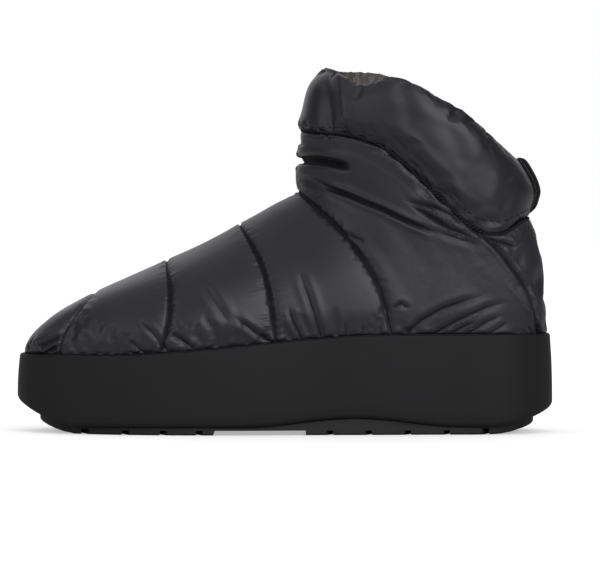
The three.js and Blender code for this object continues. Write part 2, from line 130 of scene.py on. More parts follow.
rowColumns = ["name", "topAlong", "topUp", "frontAlong", "frontUp", "rearAlong", "rearUp", "edge", "girth", "blunt"]
upperRows = [
    ["toeTip", 0.013, 0.0, 0.013, 0.0, 0.013, 0.0, 0.0, 0.0, 0.88],
    ["toeFront", 0.026, 0.053, 0.024, 0.034, 0.024, 0.015, 0.024, 0.3, 0.88],
    ["toeTop", 0.065, 0.132, 0.056, 0.09, 0.049, 0.045, 0.05, 0.5, 0.88],
    ["toeSeam", 0.146, 0.225, 0.121, 0.162, 0.093, 0.079, 0.078, 0.6, 0.88],
    ["toePanel", 0.213, 0.283, 0.206, 0.201, 0.191, 0.097, 0.174, 0.8, 0.88],
    ["ballSeam", 0.28, 0.335, 0.29, 0.233, 0.288, 0.109, 0.273, 0.9, 0.88],
    ["ballPanel", 0.35, 0.387, 0.378, 0.266, 0.385, 0.129, 0.381, 0.9, 0.88],
    ["waistSeam", 0.417, 0.446, 0.458, 0.295, 0.477, 0.148, 0.488, 0.85, 0.88],
    ["waistPanel", 0.477, 0.501, 0.538, 0.332, 0.579, 0.167, 0.594, 0.8, 0.88],
    ["instepSeam", 0.525, 0.552, 0.613, 0.373, 0.673, 0.191, 0.7, 0.78, 0.85],
    ["crease", 0.523, 0.608, 0.645, 0.478, 0.75, 0.234, 0.82, 0.76, 0.7],
    ["pleat", 0.527, 0.664, 0.667, 0.551, 0.81, 0.24, 0.93, 0.75, 0.55],
    ["heelCorner", 0.527, 0.72, 0.677, 0.618, 0.86, 0.282, 1.0, 0.75, 0.45],
    ["collarSeam", 0.527, 0.78, 0.679, 0.693, 0.859, 0.384, 1.618, 0.78, 0.6],
    ["collarLow", 0.538, 0.849, 0.688, 0.764, 0.841, 0.572, 1.732, 0.83, 0.66],
    ["collarHigh", 0.55, 0.93, 0.69, 0.854, 0.83, 0.726, 1.85, 0.84, 0.7],
    ["rim", 0.579, 1.015, 0.69, 0.948, 0.813, 0.864, 2.0, 0.78, 0.75],
]
backSeam = [(0.981, 0.129), (0.978, 0.246), (0.968, 0.354), (0.952, 0.452), (0.955, 0.519), (0.94, 0.598), (0.914, 0.684)]
rimWaves = [(-1, 0.18, 0.18, -0.038), (-1, 0.42, 0.2, 0.022), (1, 0.35, 0.35, 0.035)]

rowNames = [row[0] for row in upperRows]
seamRow, rimRow, heelCorner = (rowNames.index(name) for name in ("collarSeam", "rim", "heelCorner"))
rowValues = {name: np.array([row[i] for row in upperRows], float) for i, name in enumerate(rowColumns) if i}


def through(column, v):
    # smooth values through the rows, level wherever the direction turns
    values = rowValues[column]
    rise = np.diff(values)
    slope = np.zeros(len(values))
    slope[0], slope[-1] = rise[0], rise[-1]
    product = rise[:-1] * rise[1:]
    total = np.where(product > 0, rise[:-1] + rise[1:], 1)
    slope[1:-1] = np.where(product > 0, 2 * product / total, 0)
    i = np.clip(np.floor(v).astype(int), 0, len(values) - 2)
    t = v - i
    return (mix(values[i], values[i + 1], t * t * (3 - 2 * t))
            + t * (1 - t) ** 2 * slope[i] + t * t * (t - 1) * slope[i + 1])


def rimEdge(edge, side):
    angle = np.arccos(1 - 2 * clamp01(edge))
    flat = outlinePoint(np.where(side < 0, angle, -angle), np.full(np.shape(angle), sole["rimWidth"] + sole["gap"]))
    return np.concatenate([flat, (rimHeight(xToAlong(flat[..., 0])) + sole["gap"])[..., None]], -1)


def sidePoint(along, up):
    along = np.asarray(along, float)
    height = rimHeight(clamp01(along)) + np.asarray(up) * last["upperHeight"]
    return np.stack([alongToX(along), np.zeros_like(along), height], -1)


def makeBackCurve():
    # a centripetal curve up the back seam, in equal steps of length
    heel = rimEdge(np.array([1.0]), np.array([-1.0]))[0] * [1, 0, 1]
    knots = np.vstack([heel, sidePoint(*zip(*backSeam))])
    knots = np.vstack([2 * knots[0] - knots[1], knots, 2 * knots[-1] - knots[-2]])
    points = []
    for i in range(1, len(knots) - 2):
        p0, p1, p2, p3 = knots[i - 1:i + 3]
        d0, d1, d2 = (math.sqrt(np.linalg.norm(b - a)) for a, b in ((p0, p1), (p1, p2), (p2, p3)))
        m1 = ((p1 - p0) / d0 - (p2 - p0) / (d0 + d1) + (p2 - p1) / d1) * d1
        m2 = ((p2 - p1) / d1 - (p3 - p1) / (d1 + d2) + (p3 - p2) / d2) * d1
        for t in np.linspace(0, 1, 40, endpoint=False):
            points.append((2 * t**3 - 3 * t**2 + 1) * p1 + (t**3 - 2 * t**2 + t) * m1
                          + (3 * t**2 - 2 * t**3) * p2 + (t**3 - t**2) * m2)
    points = np.array(points + [knots[-2]])
    lengths = np.concatenate([[0], np.cumsum(np.linalg.norm(np.diff(points, axis=0), axis=1))])
    return points, lengths / lengths[-1]


backPoints, backLengths = makeBackCurve()


def backAt(share):
    return np.stack([np.interp(clamp01(share), backLengths, backPoints[:, k]) for k in range(3)], -1)


def surfacePoint(v, turn, side):
    # v counts rows, and turn runs from 0 at the centre line to 1 at the row's end
    v, turn, side = (np.array(a, float) for a in np.broadcast_arrays(v, turn, side))
    edge = through("edge", v)
    end = np.where((edge < 1)[..., None], rimEdge(edge, side), backAt(edge - 1))
    endWidth = np.where(edge < 1, np.maximum(0, side * (end[..., 1] - centreLine(xToAlong(end[..., 0])))), 0)
    width = np.maximum(through("girth", v) * sole["ballWidth"] / 2, np.maximum(endWidth * last["overhang"], 1e-6))
    blunt = through("blunt", v)
    lastAngle = np.pi - np.arcsin(np.power(np.minimum(endWidth / width, 1), 1 / blunt))
    angle = lastAngle * turn
    share = clamp01((1 - np.cos(angle)) / (1 - np.cos(lastAngle)))
    path = [sidePoint(through(a + "Along", v), through(a + "Up", v)) for a in ("top", "front", "rear")]
    path.append(end * [1, 0, 1])
    path = [2 * path[0] - path[1], *path, 2 * path[3] - path[2]]
    i = np.clip(np.floor(share * 3).astype(int), 0, 2)
    t = (share * 3 - i)[..., None]
    stack = np.stack(path)
    p0, p1, p2, p3 = (np.take_along_axis(stack, (i + k)[None, ..., None], 0)[0] for k in range(4))
    m1, m2 = (p2 - p0) / 2, (p3 - p1) / 2
    point = ((2 * t**3 - 3 * t**2 + 1) * p1 + (t**3 - 2 * t**2 + t) * m1
             + (3 * t**2 - 2 * t**3) * p2 + (t**3 - t**2) * m2)
    wave = sum(np.where(side == s, lift * hump(share, centre, reach), 0) for s, centre, reach, lift in rimWaves)
    point[..., 2] += wave * last["upperHeight"] * smooth(v, seamRow + 1, rimRow)
    power = mix(last["frontBlunt"], blunt, share)
    point[..., 1] = side * width * np.power(np.maximum(0, np.sin(angle)), power)
    ridge = hump(v, rowNames.index("waistSeam"), 7) * (1 - share)
    point[..., 1] += centreLine(xToAlong(point[..., 0])) + last["instepShift"] * ridge
    atEnd = (turn >= 1) | (v <= 0)
    return np.where(atEnd[..., None], end, point)


# ---- meshes from grids of points

def gridNormals(points, closedRows=False, closedColumns=False):
    # outward normals of a grid, from its own differences
    def slopes(axis, closed):
        if closed:
            return np.roll(points, -1, axis) - np.roll(points, 1, axis)
        return np.gradient(points, axis=axis)

    normal = np.cross(slopes(0, closedRows), slopes(1, closedColumns))
    return normal / np.maximum(np.linalg.norm(normal, axis=-1, keepdims=True), 1e-9)


def mergePoints(points):
    # one index for each place, so that equal grid points become one vertex
    keys = np.round(points.reshape(-1, 3) * 200).astype(np.int64)
    _, first, slots = np.unique(keys, axis=0, return_index=True, return_inverse=True)
    return points.reshape(-1, 3)[first], slots.reshape(points.shape[:-1])


def cleanFaces(quads):
    faces = []
    for quad in quads:
        face = [corner for i, corner in enumerate(quad) if corner != quad[i - 1]]
        if len(set(face)) == len(face) and len(face) > 2:
            faces.append(face)
    return faces


def vertexNormals(points, faces):
    mesh = bpy.data.meshes.new("normals")
    mesh.from_pydata(points.tolist(), [], faces)
    normals = np.zeros(len(points) * 3, np.float32)
    mesh.vertex_normals.foreach_get("vector", normals)
    bpy.data.meshes.remove(mesh)
    return normals.reshape(-1, 3).astype(float)


def finer(points, axis, closed=False):
    # twice as many steps along one axis, on a cubic through the old points
    points = np.moveaxis(points, axis, 0)
    if closed:
        before, after = np.roll(points, 1, 0), np.roll(points, -1, 0)
        beyond = np.roll(points, -2, 0)
        middle = (9 * (points + after) - before - beyond) / 16
        result = np.empty((2 * len(points), *points.shape[1:]))
        result[0::2], result[1::2] = points, middle
    else:
        padded = np.concatenate([[2 * points[0] - points[1]], points, [2 * points[-1] - points[-2]]])
        middle = (9 * (padded[1:-2] + padded[2:-1]) - padded[:-3] - padded[3:]) / 16
        result = np.empty((2 * len(points) - 1, *points.shape[1:]))
        result[0::2], result[1::2] = points, middle
    return np.moveaxis(result, 0, axis)


def meshFrom(name, points, faces, materials, faceMaterials=None, uv=None, marks=None):
    # a shaded mesh object at the origin, in metres, with its faces turned outwards
    points = (np.asarray(points, float) - [0, sidewaysMiddle, 0]) * 0.001
    mesh = bpy.data.meshes.new(name)
    mesh.from_pydata(points.tolist(), [], [list(face) for face in faces])
    mesh.validate()
    mesh.update()
    corners = np.zeros(len(mesh.loops), np.int32)
    mesh.loops.foreach_get("vertex_index", corners)
    if uv is not None:
        layer = mesh.uv_layers.new(name="cloth")
        layer.data.foreach_set("uv", np.asarray(uv, np.float32)[corners].ravel())
    for label, values in (marks or {}).items():
        mesh.attributes.new(label, "FLOAT", "POINT").data.foreach_set("value", np.asarray(values, np.float32))
    for material in materials:
        mesh.materials.append(material)
    if faceMaterials is not None and len(faceMaterials) == len(mesh.polygons):
        mesh.polygons.foreach_set("material_index", np.asarray(faceMaterials, np.int32))
    mesh.polygons.foreach_set("use_smooth", np.ones(len(mesh.polygons), bool))
    obj = bpy.data.objects.new(name, mesh)
    bpy.context.scene.collection.objects.link(obj)
    volume = sum(mesh.vertices[f.vertices[0]].co.dot(f.normal) * f.area for f in mesh.polygons)
    if volume < 0:
        mesh.flip_normals()
    print(name, len(mesh.vertices), "points,", sum(len(f.vertices) - 2 for f in mesh.polygons), "triangles")
    return obj


def loftFaces(ringCount, pointCount, close=True):
    # quads between rings, with both ends closed from side to side
    faces = []
    for k in range(ringCount - 1):
        for i in range(pointCount):
            a, b = k * pointCount + i, k * pointCount + (i + 1) % pointCount
            faces.append((a, b, b + pointCount, a + pointCount))
    if close:
        top = (ringCount - 1) * pointCount
        half = pointCount // 2
        for i in range(half):
            near, far = (i, i + 1), ((pointCount - i) % pointCount, pointCount - i - 1)
            faces.append((near[0], far[0], far[1], near[1]))
            faces.append((top + near[0], top + near[1], top + far[1], top + far[0]))
    return cleanFaces(faces)


# ---- shared surface effects, as node groups

def newGroup(name, inputs, outputs):
    group = bpy.data.node_groups.new(name, "ShaderNodeTree")
    for label, kind, value in inputs:
        socket = group.interface.new_socket(name=label, in_out="INPUT", socket_type=kind)
        if value is not None:
            socket.default_value = value
    for label, kind in outputs:
        group.interface.new_socket(name=label, in_out="OUTPUT", socket_type=kind)
    return group, group.nodes.new("NodeGroupInput"), group.nodes.new("NodeGroupOutput")


def addNode(tree, kind, inputs=None, **settings):
    node = tree.nodes.new(kind)
    for key, value in settings.items():
        setattr(node, key, value)
    for key, value in (inputs or {}).items():
        if isinstance(value, bpy.types.NodeSocket):
            tree.links.new(value, node.inputs[key])
        else:
            node.inputs[key].default_value = value
    return node


def mathNode(tree, operation, a, b=None, c=None, clamp=False):
    values = {i: value for i, value in enumerate((a, b, c)) if value is not None}
    return addNode(tree, "ShaderNodeMath", values, operation=operation, use_clamp=clamp).outputs[0]


def makeCrinkleGroup():
    # soft irregular creases of thin fabric over padding
    group, inside, out = newGroup(
        "softCrinkle",
        [("Vector", "NodeSocketVector", None), ("Scale", "NodeSocketFloat", 60.0), ("Sharpness", "NodeSocketFloat", 0.5)],
        [("Height", "NodeSocketFloat"), ("Mask", "NodeSocketFloat")])
    drift = addNode(group, "ShaderNodeTexNoise", {"Vector": inside.outputs["Vector"], "Scale": 14.0, "Detail": 1.0})
    shift = addNode(group, "ShaderNodeVectorMath", {0: drift.outputs["Color"], 1: (0.02, 0.02, 0.02)}, operation="MULTIPLY")
    place = addNode(group, "ShaderNodeVectorMath", {0: inside.outputs["Vector"], 1: shift.outputs[0]}, operation="ADD")
    wide = addNode(group, "ShaderNodeTexNoise", {"Vector": place.outputs[0], "Scale": inside.outputs["Scale"], "Detail": 3.0, "Roughness": 0.5})
    ridge = mathNode(group, "ABSOLUTE", mathNode(group, "SUBTRACT", wide.outputs["Fac"], 0.5))
    crease = mathNode(group, "POWER", mathNode(group, "MULTIPLY", ridge, 3.2, clamp=True), inside.outputs["Sharpness"])
    patches = addNode(group, "ShaderNodeTexNoise", {"Vector": inside.outputs["Vector"], "Scale": 9.0, "Detail": 2.0})
    mask = addNode(group, "ShaderNodeMapRange", {"Value": patches.outputs["Fac"], "From Min": 0.4, "From Max": 0.62})
    height = mathNode(group, "MULTIPLY", crease, mask.outputs["Result"])
    group.links.new(height, out.inputs["Height"])
    group.links.new(mask.outputs["Result"], out.inputs["Mask"])
    return group


def makeWeaveGroup():
    # a plain weave: threads that pass over and under each other
    group, inside, out = newGroup(
        "threadWeave",
        [("Vector", "NodeSocketVector", None), ("Pitch", "NodeSocketFloat", 0.0004), ("Stretch", "NodeSocketFloat", 1.0)],
        [("Height", "NodeSocketFloat")])
    parts = addNode(group, "ShaderNodeSeparateXYZ", {0: inside.outputs["Vector"]})
    turns = mathNode(group, "DIVIDE", math.pi, inside.outputs["Pitch"])
    across = mathNode(group, "MULTIPLY", parts.outputs["X"], turns)
    along = mathNode(group, "MULTIPLY", mathNode(group, "MULTIPLY", parts.outputs["Y"], turns), inside.outputs["Stretch"])
    over = mathNode(group, "MULTIPLY", mathNode(group, "SINE", across), mathNode(group, "SINE", along))
    warp = mathNode(group, "ABSOLUTE", mathNode(group, "SINE", across))
    weft = mathNode(group, "ABSOLUTE", mathNode(group, "SINE", along))
    pick = mathNode(group, "GREATER_THAN", over, 0.0)
    height = mathNode(group, "ADD", mathNode(group, "MULTIPLY", warp, pick),
                      mathNode(group, "MULTIPLY", weft, mathNode(group, "SUBTRACT", 1.0, pick)))
    group.links.new(height, out.inputs["Height"])
    return group


def makeSpeckleGroup():
    # fine grain of moulded rubber, with faint rubs and dust
    group, inside, out = newGroup(
        "mouldedGrain",
        [("Vector", "NodeSocketVector", None), ("Scale", "NodeSocketFloat", 900.0), ("Rubs", "NodeSocketFloat", 0.5)],
        [("Height", "NodeSocketFloat"), ("Mask", "NodeSocketFloat")])
    grain = addNode(group, "ShaderNodeTexNoise", {"Vector": inside.outputs["Vector"], "Scale": inside.outputs["Scale"], "Detail": 3.0, "Roughness": 0.6})
    stretched = addNode(group, "ShaderNodeMapping", {"Vector": inside.outputs["Vector"], "Scale": (0.35, 0.35, 1.6)})
    cloud = addNode(group, "ShaderNodeTexNoise", {"Vector": stretched.outputs[0], "Scale": 45.0, "Detail": 5.0, "Roughness": 0.62})
    rubs = addNode(group, "ShaderNodeMapRange", {"Value": cloud.outputs["Fac"], "From Min": 0.42, "From Max": 0.75})
    group.links.new(grain.outputs["Fac"], out.inputs["Height"])
    group.links.new(mathNode(group, "MULTIPLY", rubs.outputs["Result"], inside.outputs["Rubs"]), out.inputs["Mask"])
    return group


def makeLineGroup():
    # a thin line sunk into the surface, from the signed distance to it; its mask also places the painted shade along
    # the line
    group, inside, out = newGroup(
        "pressedLine",
        [("Offset", "NodeSocketFloat", 1.0), ("Width", "NodeSocketFloat", 0.5), ("Share", "NodeSocketFloat", 1.0)],
        [("Height", "NodeSocketFloat"), ("Mask", "NodeSocketFloat")])
    scaled = mathNode(group, "DIVIDE", inside.outputs["Offset"], inside.outputs["Width"])
    bell = mathNode(group, "EXPONENT", mathNode(group, "MULTIPLY", mathNode(group, "MULTIPLY", scaled, scaled), -1.0))
    mask = mathNode(group, "MULTIPLY", bell, inside.outputs["Share"], clamp=True)
    group.links.new(mathNode(group, "MULTIPLY", mask, -1.0), out.inputs["Height"])
    group.links.new(mask, out.inputs["Mask"])
    return group


def makeGatherGroup():
    # small gathers that run away from a seam: offset from it and run along it, in millimetres
    group, inside, out = newGroup(
        "seamGathers",
        [("Offset", "NodeSocketFloat", 50.0), ("Run", "NodeSocketFloat", 0.0), ("Pitch", "NodeSocketFloat", 2.2),
         ("Reach", "NodeSocketFloat", 5.0), ("Share", "NodeSocketFloat", 1.0)],
        [("Height", "NodeSocketFloat")])
    reached = mathNode(group, "DIVIDE", inside.outputs["Offset"], inside.outputs["Reach"])
    fade = mathNode(group, "EXPONENT", mathNode(group, "MULTIPLY", reached, -1.0))
    place = addNode(group, "ShaderNodeCombineXYZ", {
        0: mathNode(group, "DIVIDE", inside.outputs["Run"], inside.outputs["Pitch"]),
        1: mathNode(group, "MULTIPLY", inside.outputs["Offset"], 0.07)})
    folds = addNode(group, "ShaderNodeTexNoise", {"Vector": place.outputs[0], "Scale": 1.0, "Detail": 2.0, "Roughness": 0.6})
    centred = mathNode(group, "SUBTRACT", folds.outputs["Fac"], 0.5)
    height = mathNode(group, "MULTIPLY", mathNode(group, "MULTIPLY", centred, fade), inside.outputs["Share"])
    group.links.new(height, out.inputs["Height"])
    return group


crinkleGroup, weaveGroup, grainGroup = makeCrinkleGroup(), makeWeaveGroup(), makeSpeckleGroup()
lineGroup, gatherGroup = makeLineGroup(), makeGatherGroup()

# ---- materials

# the near-black third colour of the nylon is painted shade, laid into the fold creases and seam grooves
nylonLook = {
    "colour": (0.0064, 0.0058, 0.0092, 1), "worn": (0.0110, 0.0098, 0.0146, 1), "shadedLines": (0.0008, 0.0008, 0.0010, 1),
    "roughness": (0.38, 0.48), "specular": 0.6, "sheen": 0.03,
    "creaseScale": 75.0, "creaseDepth": 0.0004, "weavePitch": 0.00045, "weaveDepth": 0.00001,
    "seamWidth": 0.42, "foldWidth": 1.0, "seamDepth": 0.0005,
    "gatherPitch": 2.0, "gatherReach": 4.5, "gatherDepth": 0.0011,
}
liningLook = {
    "colour": (0.05, 0.045, 0.041, 1), "worn": (0.09, 0.083, 0.076, 1), "roughness": (0.3, 0.42),
    "creaseScale": 120.0, "creaseDepth": 0.0004, "weavePitch": 0.0005, "weaveDepth": 0.00002,
    "specular": 0.5, "sheen": 0.2,
}
webbingLook = {
    "colour": (0.005, 0.005, 0.0056, 1), "worn": (0.015, 0.015, 0.0165, 1), "roughness": (0.65, 0.85),
    "creaseScale": 300.0, "creaseDepth": 0.00005, "weavePitch": 0.0011, "weaveDepth": 0.0004,
    "specular": 0.35, "sheen": 0.2,
}
insoleLook = {
    "colour": (0.02, 0.02, 0.021, 1), "worn": (0.034, 0.033, 0.033, 1), "roughness": (0.85, 0.95),
    "creaseScale": 400.0, "creaseDepth": 0.0003, "weavePitch": 0.0009, "weaveDepth": 0.00015,
    "specular": 0.2, "sheen": 0.4,
}
threadLook = {"colour": (0.0015, 0.0015, 0.0018, 1), "roughness": 0.65}
foamLook = {
    "colour": (0.0072, 0.0072, 0.0081, 1), "worn": (0.0094, 0.0094, 0.0104, 1), "roughness": (0.62, 0.74),
    "grainScale": 1400.0, "grainDepth": 0.00004, "rubs": 0.55, "specular": 0.28,
}
rubberLook = {
    "colour": (0.012, 0.012, 0.0125, 1), "worn": (0.03, 0.03, 0.031, 1), "roughness": (0.7, 0.85),
    "grainScale": 900.0, "grainDepth": 0.00008, "rubs": 0.8, "specular": 0.35,
}


def newMaterial(name):
    material = bpy.data.materials.new(name)
    material.use_nodes = True
    tree = material.node_tree
    return material, tree, tree.nodes["Principled BSDF"]


def clothMaterial(name, look):
    material, tree, shader = newMaterial(name)
    place = tree.nodes.new("ShaderNodeTexCoord")
    surface = addNode(tree, "ShaderNodeUVMap", uv_map="cloth")
    crinkle = addNode(tree, "ShaderNodeGroup", node_tree=crinkleGroup)
    crinkle.inputs["Scale"].default_value = look["creaseScale"]
    crinkle.inputs["Sharpness"].default_value = 0.9
    tree.links.new(place.outputs["Object"], crinkle.inputs["Vector"])
    weave = addNode(tree, "ShaderNodeGroup", node_tree=weaveGroup)
    weave.inputs["Pitch"].default_value = look["weavePitch"]
    tree.links.new(surface.outputs["UV"], weave.inputs["Vector"])
    blend = tree.nodes.new("ShaderNodeMix")
    blend.data_type = "RGBA"
    blend.inputs[6].default_value = look["colour"]
    blend.inputs[7].default_value = look["worn"]
    tree.links.new(crinkle.outputs["Mask"], blend.inputs[0])
    tree.links.new(blend.outputs[2], shader.inputs["Base Color"])
    gloss = addNode(tree, "ShaderNodeMapRange", {"Value": crinkle.outputs["Mask"], "To Min": look["roughness"][0], "To Max": look["roughness"][1]})
    tree.links.new(gloss.outputs["Result"], shader.inputs["Roughness"])
    coarse = addNode(tree, "ShaderNodeBump", {"Height": crinkle.outputs["Height"], "Strength": 0.6, "Distance": look["creaseDepth"]})
    fine = addNode(tree, "ShaderNodeBump", {"Height": weave.outputs["Height"], "Strength": 0.8, "Distance": look["weaveDepth"], "Normal": coarse.outputs["Normal"]})
    normal = fine.outputs["Normal"]
    if "seamWidth" in look:
        # the seams, folds and gathers, from the marks that the mesh carries, with painted shade darkening the seam and
        # fold lines
        marks = {label: addNode(tree, "ShaderNodeAttribute", attribute_name=label).outputs["Fac"]
                 for label in ("seamOffset", "seamRun", "seamShare", "gatherShare", "foldOffset", "foldShare")}
        seam = addNode(tree, "ShaderNodeGroup", {
            "Offset": marks["seamOffset"], "Share": marks["seamShare"], "Width": look["seamWidth"]}, node_tree=lineGroup)
        fold = addNode(tree, "ShaderNodeGroup", {
            "Offset": marks["foldOffset"], "Share": marks["foldShare"], "Width": look["foldWidth"]}, node_tree=lineGroup)
        gathers = addNode(tree, "ShaderNodeGroup", {
            "Offset": marks["seamOffset"], "Run": marks["seamRun"], "Pitch": look["gatherPitch"], "Reach": look["gatherReach"],
            "Share": marks["gatherShare"],
        }, node_tree=gatherGroup)
        shadedLines = mathNode(tree, "ADD", seam.outputs["Height"], fold.outputs["Height"])
        lines = addNode(tree, "ShaderNodeBump", {"Height": shadedLines, "Strength": 1.0, "Distance": look["seamDepth"], "Normal": normal})
        ruffle = addNode(tree, "ShaderNodeBump", {
            "Height": gathers.outputs["Height"], "Strength": 1.0, "Distance": look["gatherDepth"], "Normal": lines.outputs["Normal"]})
        normal = ruffle.outputs["Normal"]
        # painted shade: along seam and fold lines the colour is blended towards near-black
        shadeMask = mathNode(tree, "MAXIMUM", seam.outputs["Mask"], fold.outputs["Mask"])
        shaded = tree.nodes.new("ShaderNodeMix")
        shaded.data_type = "RGBA"
        shaded.inputs[7].default_value = look["shadedLines"]
        tree.links.new(shadeMask, shaded.inputs[0])
        tree.links.new(blend.outputs[2], shaded.inputs[6])
        tree.links.new(shaded.outputs[2], shader.inputs["Base Color"])
        duller = addNode(tree, "ShaderNodeMapRange", {"Value": shadeMask, "To Min": 0.0, "To Max": 0.45})
        tree.links.new(mathNode(tree, "ADD", gloss.outputs["Result"], duller.outputs["Result"], clamp=True), shader.inputs["Roughness"])
    tree.links.new(normal, shader.inputs["Normal"])
    shader.inputs["Specular IOR Level"].default_value = look["specular"]
    shader.inputs["Sheen Weight"].default_value = look["sheen"]
    shader.inputs["Sheen Roughness"].default_value = 0.4
    return material


def rubberMaterial(name, look):
    material, tree, shader = newMaterial(name)
    place = tree.nodes.new("ShaderNodeTexCoord")
    grain = addNode(tree, "ShaderNodeGroup", node_tree=grainGroup)
    grain.inputs["Scale"].default_value = look["grainScale"]
    grain.inputs["Rubs"].default_value = look["rubs"]
    tree.links.new(place.outputs["Object"], grain.inputs["Vector"])
    blend = tree.nodes.new("ShaderNodeMix")
    blend.data_type = "RGBA"
    blend.inputs[6].default_value = look["colour"]
    blend.inputs[7].default_value = look["worn"]
    tree.links.new(grain.outputs["Mask"], blend.inputs[0])
    tree.links.new(blend.outputs[2], shader.inputs["Base Color"])
    gloss = addNode(tree, "ShaderNodeMapRange", {"Value": grain.outputs["Mask"], "To Min": look["roughness"][0], "To Max": look["roughness"][1]})
    tree.links.new(gloss.outputs["Result"], shader.inputs["Roughness"])
    bump = addNode(tree, "ShaderNodeBump", {"Height": grain.outputs["Height"], "Strength": 0.7, "Distance": look["grainDepth"]})
    tree.links.new(bump.outputs["Normal"], shader.inputs["Normal"])
    shader.inputs["Specular IOR Level"].default_value = look["specular"]
    return material


def threadMaterial():
    material, tree, shader = newMaterial("thread")
    place = tree.nodes.new("ShaderNodeTexCoord")
    twist = addNode(tree, "ShaderNodeTexWave", {"Vector": place.outputs["Object"], "Scale": 900.0, "Distortion": 0.5}, bands_direction="DIAGONAL")
    bump = addNode(tree, "ShaderNodeBump", {"Height": twist.outputs["Fac"], "Strength": 0.5, "Distance": 0.0001})
    tree.links.new(bump.outputs["Normal"], shader.inputs["Normal"])
    shader.inputs["Base Color"].default_value = threadLook["colour"]
    shader.inputs["Roughness"].default_value = threadLook["roughness"]
    return material


nylon = clothMaterial("blackNylon", nylonLook)
lining = clothMaterial("greyLining", liningLook)
webbing = clothMaterial("wovenWebbing", webbingLook)
insoleCloth = clothMaterial("insoleCloth", insoleLook)
foam = rubberMaterial("moulded", foamLook)
rubber = rubberMaterial("lugRubber", rubberLook)
thread = threadMaterial()
print("materials made")

# ---- folds of the shell, as lines in side view: x and height above the floor

# side -1 is the outer side; depth below the padding, width of the trough, lip beside it
heelPanelLine = [(106, 103), (113, 96), (121, 86), (128, 76), (132, 65), (133, 53)]
heelPanel = ("heelPanel", 1.2, 1.0, 0.5, [(82, 120), *heelPanelLine, (133.5, 45)])
outerFolds = [
    ("slit", 5.5, 1.7, 0.2, [(3, 144.9), (9, 144.3), (17, 143.6), (26, 142), (36, 139.3)]),
    ("overlap", 2.2, 1.0, 1.4, [(17, 133), (24, 129), (33, 126), (42, 122), (52, 118), (64, 112), (76, 107), (85, 105)]),
    ("overlapTail", 0.7, 1.5, 0.5, [(80, 106), (91, 103), (103, 99)]),
    ("lensTop", 1.1, 1.1, 0.7, [(62, 123), (76, 120), (86, 116), (96, 111)]),
    ("lensLow", 1.3, 1.1, 0.8, [(64, 121), (74, 116), (85, 109), (101, 102)]),
    ("seamBranch", 0.9, 1.2, 0.5, [(33, 105), (43, 101)]),
    ("seamNick", 0.9, 1.0, 0.4, [(56, 66), (61, 69), (66, 66)]),
    ("heelA", 1.3, 1.4, 0.4, [(62, 51), (72, 60), (83, 66.5), (96, 71), (108, 74)]),
    ("heelB", 1.1, 1.3, 0.35, [(76, 51), (90, 59.5), (106, 67), (120, 70)]),
    ("heelC", 0.9, 1.1, 0.3, [(85, 51), (95, 57), (102, 60)]),
    ("heelD", 0.9, 1.1, 0.3, [(95, 52), (107, 59.5), (116, 63)]),
    ("heelE", 0.7, 1.1, 0.25, [(108, 53), (118, 59)]),
    ("panelA", 1.1, 1.1, 0.6, [(2, 68), (5, 60), (10, 49)]),
    ("panelB", 0.9, 1.4, 0.7, [(7, 87), (13, 73), (17, 60), (20, 49)]),
    ("tickA", 0.8, 1.0, 0.4, [(32, 60), (32.5, 50)]),
    ("tickB", 0.7, 0.9, 0.3, [(41, 58), (41.5, 50)]),
    ("tickC", 0.7, 0.9, 0.3, [(50, 58), (51, 50)]),
    ("ballA", 0.5, 1.8, 0.6, [(-44, 81), (-36, 70), (-28, 58)]),
    ("ballB", 0.9, 1.3, 0.6, [(-27, 63), (-14, 53), (-4, 47)]),
    ("ballC", 0.7, 1.2, 0.5, [(-60, 54), (-48, 46)]),
    ("toeBallA", 0.8, 1.2, 0.5, [(-78, 62), (-69, 54), (-61, 44)]),
    ("toeBallB", 0.7, 1.0, 0.4, [(-79, 48), (-72, 42)]),
    ("toeA", 1.0, 1.4, 0.8, [(-128, 46), (-115, 53)]),
    ("toeB", 0.9, 1.1, 0.5, [(-124, 43), (-118, 47)]),
    ("cornerA", 1.2, 1.1, 0.7, [(106, 102.5), (114, 101), (123, 98)]),
    ("cornerB", 0.9, 0.9, 0.5, [(107, 101), (113, 98)]),
    heelPanel,
]
innerFolds = [
    ("slit", 3.4, 1.6, 1.1, [(2, 145), (10, 143), (20, 141.5), (30, 140)]),
    ("overlap", 2.2, 1.5, 1.4, [(20, 131), (33, 126.5), (47, 122), (60, 115), (73, 110)]),
    ("lens", 1.2, 1.2, 0.8, [(66, 124), (78, 117), (92, 109), (100, 105)]),
    ("heelA", 1.9, 2.0, 1.2, [(68, 51), (80, 61), (94, 67), (106, 71)]),
    ("heelB", 1.6, 1.7, 1.0, [(84, 51), (96, 58), (110, 65)]),
    ("heelC", 1.2, 1.4, 0.8, [(99, 51), (112, 60)]),
    ("panelA", 1.7, 1.5, 1.1, [(5, 76), (10, 64), (17, 49)]),
    ("panelB", 1.3, 1.3, 0.8, [(24, 68), (30, 59), (33, 50)]),
    ("tickA", 1.1, 1.0, 0.5, [(44, 60), (44, 50)]),
    ("ballA", 1.4, 1.7, 1.1, [(-40, 72), (-30, 60), (-20, 48)]),
    ("ballB", 1.2, 1.4, 0.9, [(-18, 64), (-10, 55), (-6, 47)]),
    ("toeBallA", 1.2, 1.4, 0.8, [(-84, 62), (-74, 53), (-66, 43)]),
    ("toeA", 0.9, 1.3, 0.7, [(-126, 46), (-116, 53)]),
    heelPanel,
]


